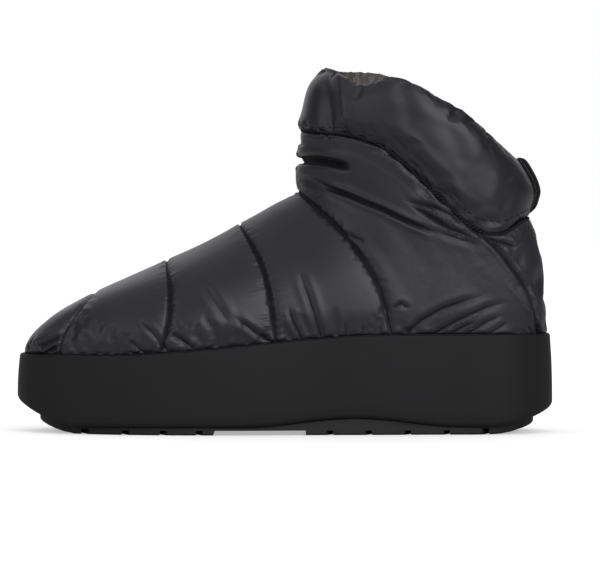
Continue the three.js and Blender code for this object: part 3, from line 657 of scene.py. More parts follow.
def alongLine(points, line):
    # distance in side view to a bent line, and the place along it from 0 to 1
    line = np.array(line, float)
    lengths = np.concatenate([[0], np.cumsum(np.linalg.norm(np.diff(line, axis=0), axis=1))])
    best = np.full(len(points), 1e9)
    place = np.zeros(len(points))
    signed = np.zeros(len(points))
    for a, b, start in zip(line[:-1], line[1:], lengths):
        way = b - a
        t = clamp01(((points - a) @ way) / (way @ way))
        offset = points - a - t[:, None] * way
        distance = np.linalg.norm(offset, axis=1)
        near = distance < best
        best = np.where(near, distance, best)
        place = np.where(near, (start + t * np.linalg.norm(way)) / lengths[-1], place)
        signed = np.where(near, np.sign(way[0] * offset[:, 1] - way[1] * offset[:, 0]), signed)
    return best, place, signed


def foldHeights(points, folds, side, share):
    # how far soft troughs and their lips move a surface on one side of the boot
    flat = points[:, [0, 2]]
    total = np.zeros(len(points))
    weight = np.where(points[:, 1] * side > 0, 1.0, 0.0) * share
    for _, depth, width, lip, line in folds:
        distance, place, signed = alongLine(flat, line)
        fade = foldFade(place, line)
        trough = -depth * np.exp(-(distance / width) ** 2)
        beside = lip * np.exp(-((distance - 2.3 * width) / (1.3 * width)) ** 2) * np.where(signed > 0, 1.0, 0.65)
        total += (trough + beside) * fade
    return total * weight


def nearSeam(points, seam):
    # distance to a seam and the length along it, for each point, with the seam in six times finer steps
    steps = np.linspace(0, len(seam) - 1, 6 * (len(seam) - 1) + 1)
    seam = np.stack([np.interp(steps, np.arange(len(seam)), seam[:, k]) for k in range(3)], -1)
    tree = kdtree.KDTree(len(seam))
    for i, place in enumerate(seam):
        tree.insert(place, i)
    tree.balance()
    lengths = np.concatenate([[0], np.cumsum(np.linalg.norm(np.diff(seam, axis=0), axis=1))])
    found = [tree.find(point)[1:] for point in points.tolist()]
    return np.array([f[1] for f in found]), lengths[[f[0] for f in found]], lengths[-1]


def foldMarks(points, *sets):
    # the signed distance to the nearest fold's line, in widths of its dark core of painted shade, and its strength
    # there
    best = np.full(len(points), 50.0)
    offset, share = best.copy(), np.zeros(len(points))
    for folds, side, upTo in sets:
        onSide = (points[:, 1] * side > 0) | (side == 0)
        for _, depth, _, _, line in folds:
            distance, place, signed = alongLine(points[:, [0, 2]], line)
            fade = foldFade(place, line) * clamp01(depth / upTo) * onSide * (1 - smooth(distance, 1.8, 2.6))
            core = 1.6 if depth > 3.5 else 0.28 + 0.17 * depth
            distance = distance / core
            nearer = (distance < best) & onSide
            best = np.where(nearer, distance, best)
            offset = np.where(nearer, distance * np.where(signed < 0, -1, 1), offset)
            share = np.where(nearer, fade, share)
    return offset, share


def foldFade(place, line):
    # full in the middle of a fold, and at the end that runs into the sole
    if line[0][1] < 54:
        return 1 - smooth(place, 0.6, 0.98)
    if line[-1][1] < 54:
        return smooth(place, 0.02, 0.35)
    return smooth(place, 0.01, 0.22) * (1 - smooth(place, 0.75, 0.99))


def puckers(distance, place, length, seed, count, reach, height, width):
    # short ridges that run away from a seam and die out
    random = np.random.default_rng(seed)
    total = np.zeros(len(distance))
    near = distance < reach[1] * 1.1
    d, s = distance[near], place[near]
    part = np.zeros(len(d))
    for _ in range(count):
        at = random.uniform(0, length)
        far = random.uniform(*reach)
        lean = random.normal(0, 0.28)
        tall = random.uniform(*height)
        wide = random.uniform(*width) * (1 + 0.6 * d / far)
        fade = clamp01(1 - d / far) ** 1.3 * smooth(d, 0.2, 1.4)
        part += tall * np.exp(-((s - at - lean * d) / wide) ** 2) * fade
    total[near] = part - part.mean() * 0.4
    return total


# ---- cloth simulation, ten times the boot's size so that the default steps suit it

clothValues = {
    "scale": 0.01, "frames": 22, "quality": 6, "mass": 0.12,
    "stretch": 18, "bend": 0.25, "grow": 0.03, "pressure": 2.6, "goal": 0.4,
}


def simulateCloth(name, points, faces, held, values):
    mesh = bpy.data.meshes.new(name)
    mesh.from_pydata((points * values["scale"]).tolist(), [], faces)
    obj = bpy.data.objects.new(name, mesh)
    bpy.context.scene.collection.objects.link(obj)
    group = obj.vertex_groups.new(name="held")
    for level in np.unique(np.round(held, 2)):
        if level > 0:
            group.add(np.nonzero(np.round(held, 2) == level)[0].tolist(), float(level), "REPLACE")
    cloth = obj.modifiers.new("Cloth", "CLOTH")
    settings = cloth.settings
    settings.quality = values["quality"]
    settings.mass = values["mass"]
    settings.air_damping = 2.0
    settings.tension_stiffness = settings.compression_stiffness = values["stretch"]
    settings.shear_stiffness = values["stretch"] * 0.4
    settings.bending_stiffness = values["bend"]
    settings.shrink_min = settings.shrink_max = -values["grow"]
    settings.use_pressure = True
    settings.uniform_pressure_force = values["pressure"]
    settings.vertex_group_mass = "held"
    settings.pin_stiffness = values["goal"]
    settings.effector_weights.gravity = 0
    cloth.collision_settings.use_collision = False
    scene = bpy.context.scene
    for step in range(1, values["frames"] + 1):
        scene.frame_set(step)
    result = obj.evaluated_get(bpy.context.evaluated_depsgraph_get()).data
    moved = np.zeros(len(points) * 3, np.float32)
    result.vertices.foreach_get("co", moved)
    scene.frame_set(1)
    bpy.data.objects.remove(obj)
    print(name, "simulated")
    return moved.reshape(-1, 3).astype(float) / values["scale"]


def limited(start, moved, normals, low, high):
    # keeps a simulated point within a range along its normal, and close to it sideways
    shift = moved - start
    lift = np.sum(shift * normals, 1)
    sideways = shift - lift[:, None] * normals
    size = np.linalg.norm(sideways, axis=1)
    sideways *= np.minimum(1, 1.5 / np.maximum(size, 1e-6))[:, None]
    return start + normals * np.clip(lift, low, high)[:, None] + sideways


# ---- the upper

upperValues = {
    "columns": 60, "step": 2.05, "topPuff": 0.0, "sidePuff": 1.3, "seamDepth": 0.4, "seamWidth": 1.5, "skirt": 8,
    "pleatDepth": 0.4, "creaseDepth": 1.6, "low": -0.7, "high": 0.7, "innerWall": 6.2,
    "lineWidth": 1.0, "fullFold": 1.2, "vampPuff": 0.0,
}
quiltRows = [rowNames.index(name) for name in ("toeSeam", "ballSeam", "waistSeam", "instepSeam")]


def upperRowPlaces(step):
    # rows about one step apart along the centre line and the back, with every seam on a row
    places = [0.0]
    marks = [0, 1, 2, *quiltRows, 10, 11, heelCorner, seamRow]
    for low, high in zip(marks[:-1], marks[1:]):
        samples = surfacePoint(np.linspace(low, high, 30)[:, None], np.array([[0.02, 0.5, 1.0]]), -1)
        length = np.linalg.norm(np.diff(samples, axis=0), axis=2).sum(0).mean()
        count = max(2, int(round(length / step)))
        places.extend(np.linspace(low, high, count + 1)[1:])
    return np.array(places)


def makeUpper():
    values = upperValues
    places = upperRowPlaces(values["step"])
    count = values["columns"]
    turns = np.abs(np.arange(-count, count + 1)) / count
    sides = np.where(np.arange(-count, count + 1) < 0, -1, 1)
    v, turn = np.meshgrid(places, turns, indexing="ij")
    side = np.broadcast_to(sides, v.shape)
    base = surfacePoint(v, turn, side)
    flat, slots = mergePoints(base)
    inTray = v <= heelCorner
    quads = []
    for r in range(len(places) - 1):
        for c in range(2 * count):
            quads.append((slots[r, c], slots[r, c + 1], slots[r + 1, c + 1], slots[r + 1, c]))
    faces = cleanFaces(quads)
    normals = vertexNormals(flat, faces)
    middle = flat[len(flat) // 2]
    if np.mean(np.sum(normals * (flat - flat.mean(0)), 1)) < 0:
        normals, faces = -normals, [face[::-1] for face in faces]
    seams = {}
    for row in [*quiltRows, seamRow]:
        line = surfacePoint(float(row), np.abs(np.linspace(-1, 1, 240)), np.where(np.linspace(-1, 1, 240) < 0, -1, 1))
        seams[row] = nearSeam(flat, line)
    above = flat[:, 2] - sole["gap"] - rimHeight(xToAlong(flat[:, 0]))
    filled = smooth(above, 0, last["filledAt"])
    nearest = np.min([seams[row][0] for row in seams], axis=0)
    flatV, flatTurn = np.zeros(len(flat)), np.zeros(len(flat))
    flatV[slots], flatTurn[slots] = v, turn
    panelDistance, _, _ = alongLine(flat[:, [0, 2]], heelPanelLine)
    atBack = np.where(flatV > 12, 1 - smooth(np.abs(flat[:, 1]), 8, 24), 0)
    puff = mix(values["topPuff"], values["sidePuff"], smooth(flatTurn, 0.1, 0.45)) * (1 - atBack)
    puff = puff + values["vampPuff"] * hump(flatV, 8, 2.2) * (1 - smooth(flatTurn, 0.1, 0.5))
    swell = puff * (1 - np.exp(-(nearest / 4.5) ** 1.3)) * smooth(above, 0, 14)
    groove = np.max([values["seamDepth"] * np.exp(-d / values["seamWidth"]) for d, _, _ in seams.values()], axis=0)
    pleat = values["pleatDepth"] * hump(flatV, 11, 0.32) * clamp01(1.4 - flatTurn / 0.3)
    crease = values["creaseDepth"] * hump(flatV, 10, 0.4) * hump(flatTurn, 0.3, 0.3)
    underTape = np.where(flatV > 12, 1 - smooth(np.abs(flat[:, 1]), 6.5, 11), 0) * mix(1.3, 2.6, smooth(flatV, 12.6, 13))
    lift = (swell - groove - pleat - crease - underTape) * mix(0.25, 1, filled) * smooth(above, -0.5, 1.5)
    start = flat + normals * lift[:, None]
    held = np.full(len(flat), 0.16)
    held = np.maximum(held, np.exp(-(nearest / 1.4) ** 2))
    held = np.maximum(held, np.exp(-(panelDistance / 1.0) ** 2))
    held = np.maximum(held, 1 - smooth(above, 0.5, 3))
    held = np.maximum(held, np.where(np.abs(flat[:, 1]) < 8, smooth(flatV, 12, 12.3), 0))
    held = np.where(held > 0.93, 1, held)
    moved = simulateCloth("upperCloth", start, faces, held, clothValues)
    start = limited(start, moved, normals, values["low"], values["high"])
    return {"v": v, "turn": turn, "slots": slots, "points": start, "flat": flat, "normals": normals, "count": count, "places": places}


upper = makeUpper()


def finishUpper(data):
    values = upperValues
    slots, places, count = data["slots"], data["places"], data["count"]
    grid = finer(finer(data["points"][slots], 0), 1)
    v = finer(data["v"][..., None], 0)
    v = finer(v, 1)[..., 0]
    rows, columns = v.shape
    outer, outerSlots = mergePoints(grid)
    faces = cleanFaces([(outerSlots[r, c], outerSlots[r, c + 1], outerSlots[r + 1, c + 1], outerSlots[r + 1, c])
                        for r in range(rows - 1) for c in range(columns - 1)])
    normals = vertexNormals(outer, faces)
    if np.mean(np.sum(normals * (outer - outer.mean(0)), 1)) < 0:
        normals = -normals
    foldOffset, foldShare = foldMarks(outer, (outerFolds, -1, values["fullFold"]), (innerFolds, 1, values["fullFold"]))
    seamOffset = np.full(len(outer), 50.0)
    seamRun, seamShare, gatherShare = (np.zeros(len(outer)) for _ in range(3))
    # folds, sewn lines, and puckers along the seams and the tray's edge
    lift = foldHeights(outer, outerFolds, -1, 1.0) + foldHeights(outer, innerFolds, 1, 1.0)
    panelDistance, panelPlace, _ = alongLine(outer[:, [0, 2]], heelPanelLine)
    seamOffset = np.where(outer[:, 0] > 95, panelDistance, seamOffset)
    seamRun = np.where(outer[:, 0] > 95, panelPlace * 60 + 500, seamRun)
    gatherShare = np.where(outer[:, 0] > 95, 0.3, gatherShare)
    flatV, fineTurn = np.zeros(len(outer)), np.zeros(len(outer))
    flatV[outerSlots] = v
    fineTurn[outerSlots] = np.abs(np.linspace(-1, 1, columns))
    for k, row in enumerate([*quiltRows, seamRow]):
        line = grid[np.argmin(np.abs(v[:, 0] - row))]
        distance, place, length = nearSeam(outer, line)
        ahead = flatV > row
        strong = {3: 0.35, 5: 0.6, 7: 0.75, 9: 0.06, 13: 0.6}[row]
        deep = {3: 0.25, 5: 0.4, 7: 0.5, 9: 0.9, 13: 1.4}[row]
        lift -= deep * np.exp(-(distance / values["lineWidth"]) ** 2) * mix(0.5, 1, smooth(fineTurn, 0.05, 0.3))
        closer = distance < seamOffset
        seamOffset = np.where(closer, distance, seamOffset)
        seamRun = np.where(closer, place + 900 * k, seamRun)
        # each seam's share sets how deep its line sinks and how strongly painted shade darkens it
        seamShare = np.where(closer, {3: 0.8, 5: 0.95, 7: 1.0, 9: 1.0, 13: 0.6}[row], seamShare)
        gatherShare = np.where(closer, {3: 0.5, 5: 0.8, 7: 1.0, 9: 0.05, 13: 0.7}[row], gatherShare)
        for seed, mask, share in ((row, ~ahead, 1.0), (row + 50, ahead, 0.7)):
            ridges = puckers(distance, place, length, seed, int(length / 3.4), (3, 13), (0.15, 0.6), (0.8, 1.7))
            lift += np.where(mask, ridges * strong * share, 0)
    edgeLine = grid[v[:, 0] <= heelCorner][:, [0, -1]]
    for k in (0, 1):
        distance, place, length = nearSeam(outer, edgeLine[:, k])
        lift += puckers(distance, place, length, 80 + k, int(length / 5), (3, 12), (0.2, 0.7), (0.9, 2.0)) * smooth(distance, 0.3, 2.5)
    above = outer[:, 2] - sole["gap"] - rimHeight(xToAlong(outer[:, 0]))
    outer = outer + normals * (lift * smooth(above, 0.2, 2.0))[:, None]
    marks = {"seamOffset": seamOffset, "seamRun": seamRun, "seamShare": seamShare, "gatherShare": gatherShare,
             "foldOffset": foldOffset, "foldShare": foldShare}
    return {"outer": outer, "slots": outerSlots, "v": v, "faces": faces, "normals": normals, "marks": marks}


upperSkin = finishUpper(upper)


def clothUv(grid):
    # lengths along and across the grid, in metres
    across = np.concatenate([np.zeros((len(grid), 1)), np.cumsum(np.linalg.norm(np.diff(grid, axis=1), axis=2), 1)], 1)
    along = np.concatenate([[0], np.cumsum(np.linalg.norm(np.diff(grid[:, grid.shape[1] // 2], axis=0), axis=1))])
    across -= across[:, [grid.shape[1] // 2]]
    return np.stack([across, np.broadcast_to(along[:, None], across.shape)], -1) * 0.001


def buildUpper(data, skin):
    # the outer skin, a skirt down into the tray, and a plain inner wall behind it
    values = upperValues
    slots = skin["slots"]
    outer = skin["outer"]
    grid = outer[slots]
    uv = np.zeros((len(outer), 2))
    uv[slots] = clothUv(grid)
    inTray = skin["v"][:, 0] <= heelCorner + 1e-6
    coarse = data["slots"]
    shift = np.sum((data["points"] - data["flat"]) * data["normals"], 1)
    above = data["flat"][:, 2] - rimHeight(xToAlong(data["flat"][:, 0]))
    wall = mix(last["fabricWall"], values["innerWall"], smooth(above, 0, last["filledAt"]))
    inner = data["flat"] - data["normals"] * np.maximum(wall, last["fabricWall"] - np.minimum(0, shift))[:, None]
    points = [outer, inner]
    faces = [list(face) for face in skin["faces"]]
    finishes = [0] * len(faces)
    base = len(outer)
    rows, columns = coarse.shape
    innerFaces = cleanFaces([(base + coarse[r, c], base + coarse[r + 1, c], base + coarse[r + 1, c + 1], base + coarse[r, c + 1])
                             for r in range(rows - 1) for c in range(columns - 1)])
    faces += innerFaces
    finishes += [1] * len(innerFaces)
    # the collar edge: two fine steps for each coarse one
    last_ = rows - 1
    rim = []
    for c in range(columns - 1):
        a, b = base + coarse[last_, c], base + coarse[last_, c + 1]
        p, q, r = slots[2 * last_, 2 * c], slots[2 * last_, 2 * c + 1], slots[2 * last_, 2 * c + 2]
        rim += [(p, q, a), (q, b, a), (q, r, b)]
    # the tray edge on both sides, with a skirt
    skirtOuter, skirtInner = {}, {}
    extra = []

    def lowered(store, index, source):
        if index not in store:
            store[index] = base + len(inner) + len(extra)
            extra.append(source - [0, 0, values["skirt"]])
        return store[index]

    heelRow = int(np.argmin(np.abs(data["places"] - heelCorner)))
    for column, fineColumn, flip in ((0, 0, False), (columns - 1, 2 * (columns - 1), True)):
        for r in range(heelRow):
            a, b = coarse[r, column], coarse[r + 1, column]
            fine = [slots[2 * r + k, fineColumn] for k in range(3)]
            la, lb = lowered(skirtInner, a, inner[a]), lowered(skirtInner, b, inner[b])
            lf = [lowered(skirtOuter, f, outer[f]) for f in fine]
            strip = [(fine[0], fine[1], lf[1], lf[0]), (fine[1], fine[2], lf[2], lf[1]),
                     (lf[0], lf[1], la), (lf[1], lb, la), (lf[1], lf[2], lb),
                     (la, lb, base + b, base + a)]
            rim += [face if flip else face[::-1] for face in strip]
    rim = [[corner for i, corner in enumerate(face) if corner != face[i - 1]] for face in rim]
    rim = [face for face in rim if len(set(face)) == len(face) > 2]
    faces += rim
    finishes += [0] * len(rim)
    points.append(np.array(extra))
    allPoints = np.vstack(points)
    allUv = np.vstack([uv, np.zeros((len(allPoints) - len(uv), 2))])
    marks = {}
    for label, values in skin["marks"].items():
        rest = np.full(len(allPoints) - len(outer), 50.0 if "Offset" in label else 0.0)
        marks[label] = np.concatenate([values, rest])
    return meshFrom("upperShell", allPoints, faces, [nylon, lining], finishes, allUv, marks)


upperShell = buildUpper(upper, upperSkin)

# ---- the collar

collarValues = {
    "columns": 84, "outerRows": 40, "innerRows": 22, "lipRows": 5, "frontPuff": 0.4, "backPuff": 2.0, "edgeRound": 2.4,
    "seamReach": 0.22, "rimLowered": 0.2, "low": -0.6, "high": 1.0, "wall": 7.5, "lip": 1.7, "fullFold": 2.4,
}
collarFolds = {
    -1: [
        ("trough", 2.6, 4.0, 0.8, [(21.5, 200), (22.5, 186), (24, 172), (25, 155)]),
        ("edge", -1.2, 2.6, 0.0, [(30, 196), (31, 180), (33, 166), (35, 154)]),
        ("seamRoll", 0.9, 2.6, 0.8, [(46, 162), (64, 149), (77, 136), (88, 122), (98, 110)]),
        ("high", 0.45, 4.0, 0.4, [(60, 186), (64, 172), (68, 160)]),
        ("nick", 0.6, 1.4, 0.5, [(96, 167), (103, 162), (110, 156)]),
        ("lowBack", 0.8, 3.5, 0.5, [(112, 116), (118, 127), (121, 138)]),
        ("middle", 0.5, 4.0, 0.5, [(82, 166), (90, 152), (94, 138)]),
    ],
    1: [
        ("trough", 2.0, 4.2, 0.8, [(26, 190), (27, 180), (27, 168)]),
        ("seamRoll", 1.2, 2.4, 1.0, [(46, 158), (62, 148), (76, 134), (90, 119)]),
        ("high", 1.0, 3.0, 0.8, [(66, 180), (70, 168), (78, 158)]),
        ("nick", 0.9, 1.8, 0.6, [(94, 160), (104, 150)]),
    ],
}


def makeCollar():
    values = collarValues
    count = values["columns"]
    rim = rimRow - values["rimLowered"]
    edgeV = seamRow + values["seamReach"] * np.array([0, 0.12, 0.3, 0.55, 0.8])
    outerV = np.concatenate([edgeV, np.linspace(seamRow + values["seamReach"] * 1.2, rim, values["outerRows"] - 5)])
    innerV = np.linspace(rim, seamRow, values["innerRows"])
    turns = np.abs(np.arange(-count, count)) / count
    sides = np.where(np.arange(-count, count) < 0, -1, 1)

    def ring(v):
        here = surfacePoint(np.full(turns.shape, v), turns, sides)
        low, high = (surfacePoint(np.full(turns.shape, w), turns, sides) for w in (max(seamRow, v - 0.05), min(rimRow, v + 0.05)))
        up = high - low
        up /= np.linalg.norm(up, axis=1, keepdims=True)
        round_ = np.roll(here, -1, 0) - np.roll(here, 1, 0)
        normal = np.cross(up, round_)
        normal /= np.linalg.norm(normal, axis=1, keepdims=True)
        return here, normal, up

    def padding(v):
        share = (v - seamRow) / (rimRow - seamRow)
        inward = clamp01(1 - (v - seamRow) / values["seamReach"])
        groove = values["edgeRound"] * (1 - math.sqrt(max(0, 1 - inward ** 2))) * mix(1, 0.4, smooth(turns, 0.85, 1))
        puff = mix(values["frontPuff"], values["backPuff"], smooth(turns, 0.15, 0.6))
        return (puff * math.sin(math.pi * min(1, share * 1.02)) ** 0.8 - groove)[:, None]

    rings, baseRings, normalRings = [], [], []
    for v in outerV:
        here, normal, up = ring(v)
        out = normal * np.sign(np.sum(normal[0] * (here[0] - here.mean(0))))
        rings.append(here + out * padding(v))
        baseRings.append(here)
        normalRings.append(out)
    lip = values["lip"]
    here, normal, up = ring(rim)
    out = normal * np.sign(np.sum(normal[0] * (here[0] - here.mean(0))))
    for angle in np.linspace(0, math.pi, values["lipRows"] + 2)[1:-1]:
        rings.append(here + out * (lip * (math.cos(angle) - 1)) + up * (lip * math.sin(angle)))
        baseRings.append(here)
        normalRings.append(out * math.cos(angle) + up * math.sin(angle))
    for v in innerV:
        here, normal, up = ring(v)
        out = normal * np.sign(np.sum(normal[0] * (here[0] - here.mean(0))))
        share = clamp01((rim - v) / 0.6)
        rings.append(here - out * (mix(2 * lip, values["wall"], math.sqrt(share)) + np.maximum(0, -padding(v)) * (v < seamRow + 1)))
        baseRings.append(here)
        normalRings.append(-out)
    grid, normals = np.array(rings), np.array(normalRings)
    outerCount = len(outerV)
    points = grid.reshape(-1, 3)
    lift = np.zeros(len(points))
    outerPart = np.arange(len(points)) < outerCount * 2 * count
    for side, folds in collarFolds.items():
        lift += foldHeights(points, folds, side, 1.0) * outerPart
    rowShare = np.repeat(np.arange(len(grid)), 2 * count)
    lift *= smooth(rowShare, 1, 6)
    points = points + normals.reshape(-1, 3) * lift[:, None]
    rows, columns = grid.shape[:2]
    index = np.arange(rows * columns).reshape(rows, columns)
    nextColumn = np.roll(index, -1, 1)
    nextRow = np.roll(index, -1, 0)
    faces = np.stack([index, nextColumn, np.roll(nextColumn, -1, 0), nextRow], -1).reshape(-1, 4).tolist()
    held = np.full(len(points), 0.14)
    held = np.where(rowShare <= 1, 1, held)
    held = np.where(rowShare >= rows - 3, 1, held)
    lipFrom, lipTo = outerCount, outerCount + values["lipRows"]
    held = np.where((rowShare >= lipFrom - 1) & (rowShare <= lipTo), 0.45, held)
    direction = vertexNormals(points, faces)
    if np.mean(np.sum(direction * normals.reshape(-1, 3), 1)) < 0:
        faces = [face[::-1] for face in faces]
    moved = simulateCloth("collarCloth", points, faces, held, clothValues)
    points = limited(points, moved, normals.reshape(-1, 3), values["low"], values["high"])
    return points.reshape(rows, columns, 3), outerCount


collarGrid, collarOuterRows = makeCollar()


def buildCollar(grid, outerRows):
    fine = finer(finer(grid, 1, closed=True), 0, closed=True)
    rows, columns = fine.shape[:2]
    points = fine.reshape(-1, 3)
    index = np.arange(rows * columns).reshape(rows, columns)
    nextColumn = np.roll(index, -1, 1)
    faces = np.stack([index, nextColumn, np.roll(nextColumn, -1, 0), np.roll(index, -1, 0)], -1).reshape(-1, 4)
    normals = vertexNormals(points, faces.tolist())
    centre = points.mean(0)
    outerMask = np.repeat(np.arange(rows), columns) < outerRows * 2
    if np.mean(np.sum((normals * (points - centre) * [1, 1, 0])[outerMask], 1)) < 0:
        normals = -normals
    distance, place, length = nearSeam(points, fine[0])
    lift = puckers(distance, place, length, 21, int(length / 3.0), (3, 12), (0.15, 0.5), (0.8, 1.8))
    points = points + normals * (lift * outerMask)[:, None]
    rowOfFace = np.repeat(np.arange(rows), columns)
    finishes = np.where(rowOfFace < (outerRows + 3) * 2, 0, 1)
    uvGrid = clothUv(np.concatenate([fine, fine[:, :1]], 1))[:, :-1]
    foldOffset, foldShare = foldMarks(
        points, (collarFolds[-1], -1, collarValues["fullFold"]), (collarFolds[1], 1, collarValues["fullFold"]))
    # the collar seam's line takes painted shade at a share of 0.6; its fold lines take none
    marks = {
        "seamOffset": np.where(outerMask, distance, 50.0), "seamRun": place + 5000, "seamShare": 0.6 * outerMask,
        "gatherShare": 0.7 * outerMask,
        "foldOffset": foldOffset, "foldShare": 0.0 * foldShare,
    }
    made = meshFrom("collarCuff", points, faces.tolist(), [nylon, lining], finishes, uvGrid.reshape(-1, 2), marks)
    return made, points.reshape(rows, columns, 3)


collarCuff, collarFine = buildCollar(collarGrid, collarOuterRows)

# ---- the sole

midsoleValues = {"around": 240, "bulge": 0.35}


def makeMidsole():
    theta = np.linspace(0, 2 * np.pi, midsoleValues["around"], endpoint=False)
    bevel, flare, round_ = sole["lowerBevel"], sole["wallFlare"], sole["rimRound"]

    def bottom(along):
        return rubberTop(along) + sole["gap"]

    rows = [(bevel + 14, lambda a: bottom(a)), (bevel + 5, lambda a: bottom(a)), (bevel, lambda a: bottom(a))]
    for angle in np.linspace(0, math.pi / 2, 5)[1:]:
        rows.append((bevel * (1 - math.sin(angle)), lambda a, k=angle: bottom(a) + bevel * (1 - math.cos(k))))
    for share in np.linspace(0, 1, 9)[1:]:
        inset = flare * share - midsoleValues["bulge"] * math.sin(math.pi * share)
        rows.append((inset, lambda a, k=share: mix(bottom(a) + bevel, rimHeight(a) - round_, k)))
    for angle in np.linspace(0, math.pi / 2, 6)[1:]:
        rows.append((flare + round_ * (1 - math.cos(angle)) * 0.8, lambda a, k=angle: rimHeight(a) - round_ * (1 - math.sin(k))))
    rows.append((sole["rimWidth"] - 0.3, rimHeight))
    rows.append((sole["rimWidth"], lambda a: rimHeight(a) - 0.5))
    rows.append((sole["rimWidth"], lambda a: rimHeight(a) - 5))
    rows.append((sole["rimWidth"], lambda a: rimHeight(a) - sole["wellDepth"]))
    rows.append((sole["rimWidth"] + 8, lambda a: rimHeight(a) - sole["wellDepth"]))
    rings = []
    for inset, height in rows:
        flat = outlinePoint(theta, np.full(theta.shape, inset))
        rings.append(np.concatenate([flat, height(xToAlong(flat[:, 0]))[:, None]], 1))
    faces = loftFaces(len(rings), len(theta))
    return meshFrom("midsoleWall", np.vstack(rings), faces, [foam])


midsoleWall = makeMidsole()

insoleValues = {"thickness": 4.2, "crown": 1.2, "around": 120}


def makeInsole():
    theta = np.linspace(0, 2 * np.pi, insoleValues["around"], endpoint=False)
    edge = sole["rimWidth"] + sole["gap"] + last["fabricWall"] + 1.8
    thick = insoleValues["thickness"]

    def low(along):
        return rimHeight(along) - sole["wellDepth"] + sole["gap"]

    rings = []
    rows = [(edge, 0), (edge - 0.3, 0.3), (edge - 0.3, 0.7), (edge + 0.6, 0.95), (edge + 3, 1.0)]
    rows += [(edge + 3 + k * 4.5, 1.0) for k in range(1, 9)]
    for inset, up in rows:
        flat = outlinePoint(theta, np.full(theta.shape, float(min(inset, edge + 3))))
        if inset > edge + 3:
            share = (inset - edge - 3) / 37
            middle = np.stack([flat[:, 0] * 0.97 + 1, centreLine(xToAlong(flat[:, 0]))], -1)
            flat = mix(flat, middle, share)
        along = xToAlong(flat[:, 0])
        dish = insoleValues["crown"] * (1 - clamp01((inset - edge) / 24)) * (up == 1.0)
        rings.append(np.concatenate([flat, (low(along) + thick * up + dish * 0.6)[:, None]], 1))
    faces = loftFaces(len(rings), len(theta))
    points = np.vstack(rings)
    return meshFrom("insolePad", points, faces, [insoleCloth], None, points[:, :2] * 0.001)


insolePad = makeInsole()
print("sole made")

# ---- the webbing at the back

tapeValues = {"width": 15, "thickness": 1.2, "across": 10}
loopValues = {"width": 16, "thickness": 3.8, "steps": 48, "from": 0.035, "to": 0.9}


def joined(first, second):
    # adds the second mesh to the first
    with bpy.context.temp_override(active_object=first, selected_editable_objects=[first, second]):
        bpy.ops.object.join()
    return first


def roundedBand(centres, normals, acrosses, width, thickness, name, bend=None):
    # a flat strap with rounded edges along a line of places, of one thickness or one for each place
    count = 24
    angles = np.linspace(0, 2 * np.pi, count, endpoint=False)
    c, s = np.cos(angles), np.sin(angles)
    halfW, halfT = width / 2, np.broadcast_to(thickness, len(centres)) / 2
    u = np.sign(c) * np.abs(c) ** 0.28 * halfW
    w = np.sign(s) * np.abs(s) ** 0.7
    rings = []
    for k, (centre, normal, across) in enumerate(zip(centres, normals, acrosses)):
        drop = 0 if bend is None else bend[k] * (u / halfW) ** 2
        rings.append(centre + np.outer(u, across) + np.outer(w * halfT[k] - drop, normal))
    points = np.vstack(rings)
    faces = loftFaces(len(rings), count)
    lengths = np.concatenate([[0], np.cumsum(np.linalg.norm(np.diff(centres, axis=0), axis=1))])
    uv = np.stack([np.tile(u, len(rings)), np.repeat(lengths, count)], -1) * 0.001
    return meshFrom(name, points, faces, [webbing], None, uv)


def backProfile(grid, rows):
    # the back seam's places on a finished surface, with outward normals in the middle plane
    line = grid[rows]
    way = np.gradient(line, axis=0)
    normal = np.stack([way[:, 2], np.zeros(len(way)), -way[:, 0]], -1)
    normal /= np.linalg.norm(normal, axis=1, keepdims=True)
    normal *= np.where(normal[:, :1] < 0, -1, 1)
    return line, normal


def makeTape():
    skin = upperSkin["outer"][upperSkin["slots"]]
    v = upperSkin["v"][:, 0]
    rows = np.nonzero((v >= heelCorner + 0.03) & (v <= seamRow - 0.04))[0]
    line = skin[rows, -1]
    beside = (skin[rows, -4][:, 0] + skin[rows, 3][:, 0]) / 2
    _, normal = backProfile(skin[:, -1], rows)
    width = tapeValues["width"]
    reach = np.abs(skin[rows, -4][:, 1] - line[:, 1])
    bend = (line[:, 0] - beside) / np.maximum(reach, 1) ** 2 * (width / 2) ** 2
    bend = np.convolve(np.pad(bend, 3, mode="edge"), np.ones(7) / 7, "valid")
    centres = line + normal * (sole["gap"] + tapeValues["thickness"] / 2)
    acrosses = np.tile([0.0, 1.0, 0.0], (len(rows), 1))
    return roundedBand(centres, normal, acrosses, width, tapeValues["thickness"], "heelTapeWoven", np.clip(bend, 0, 2.5))


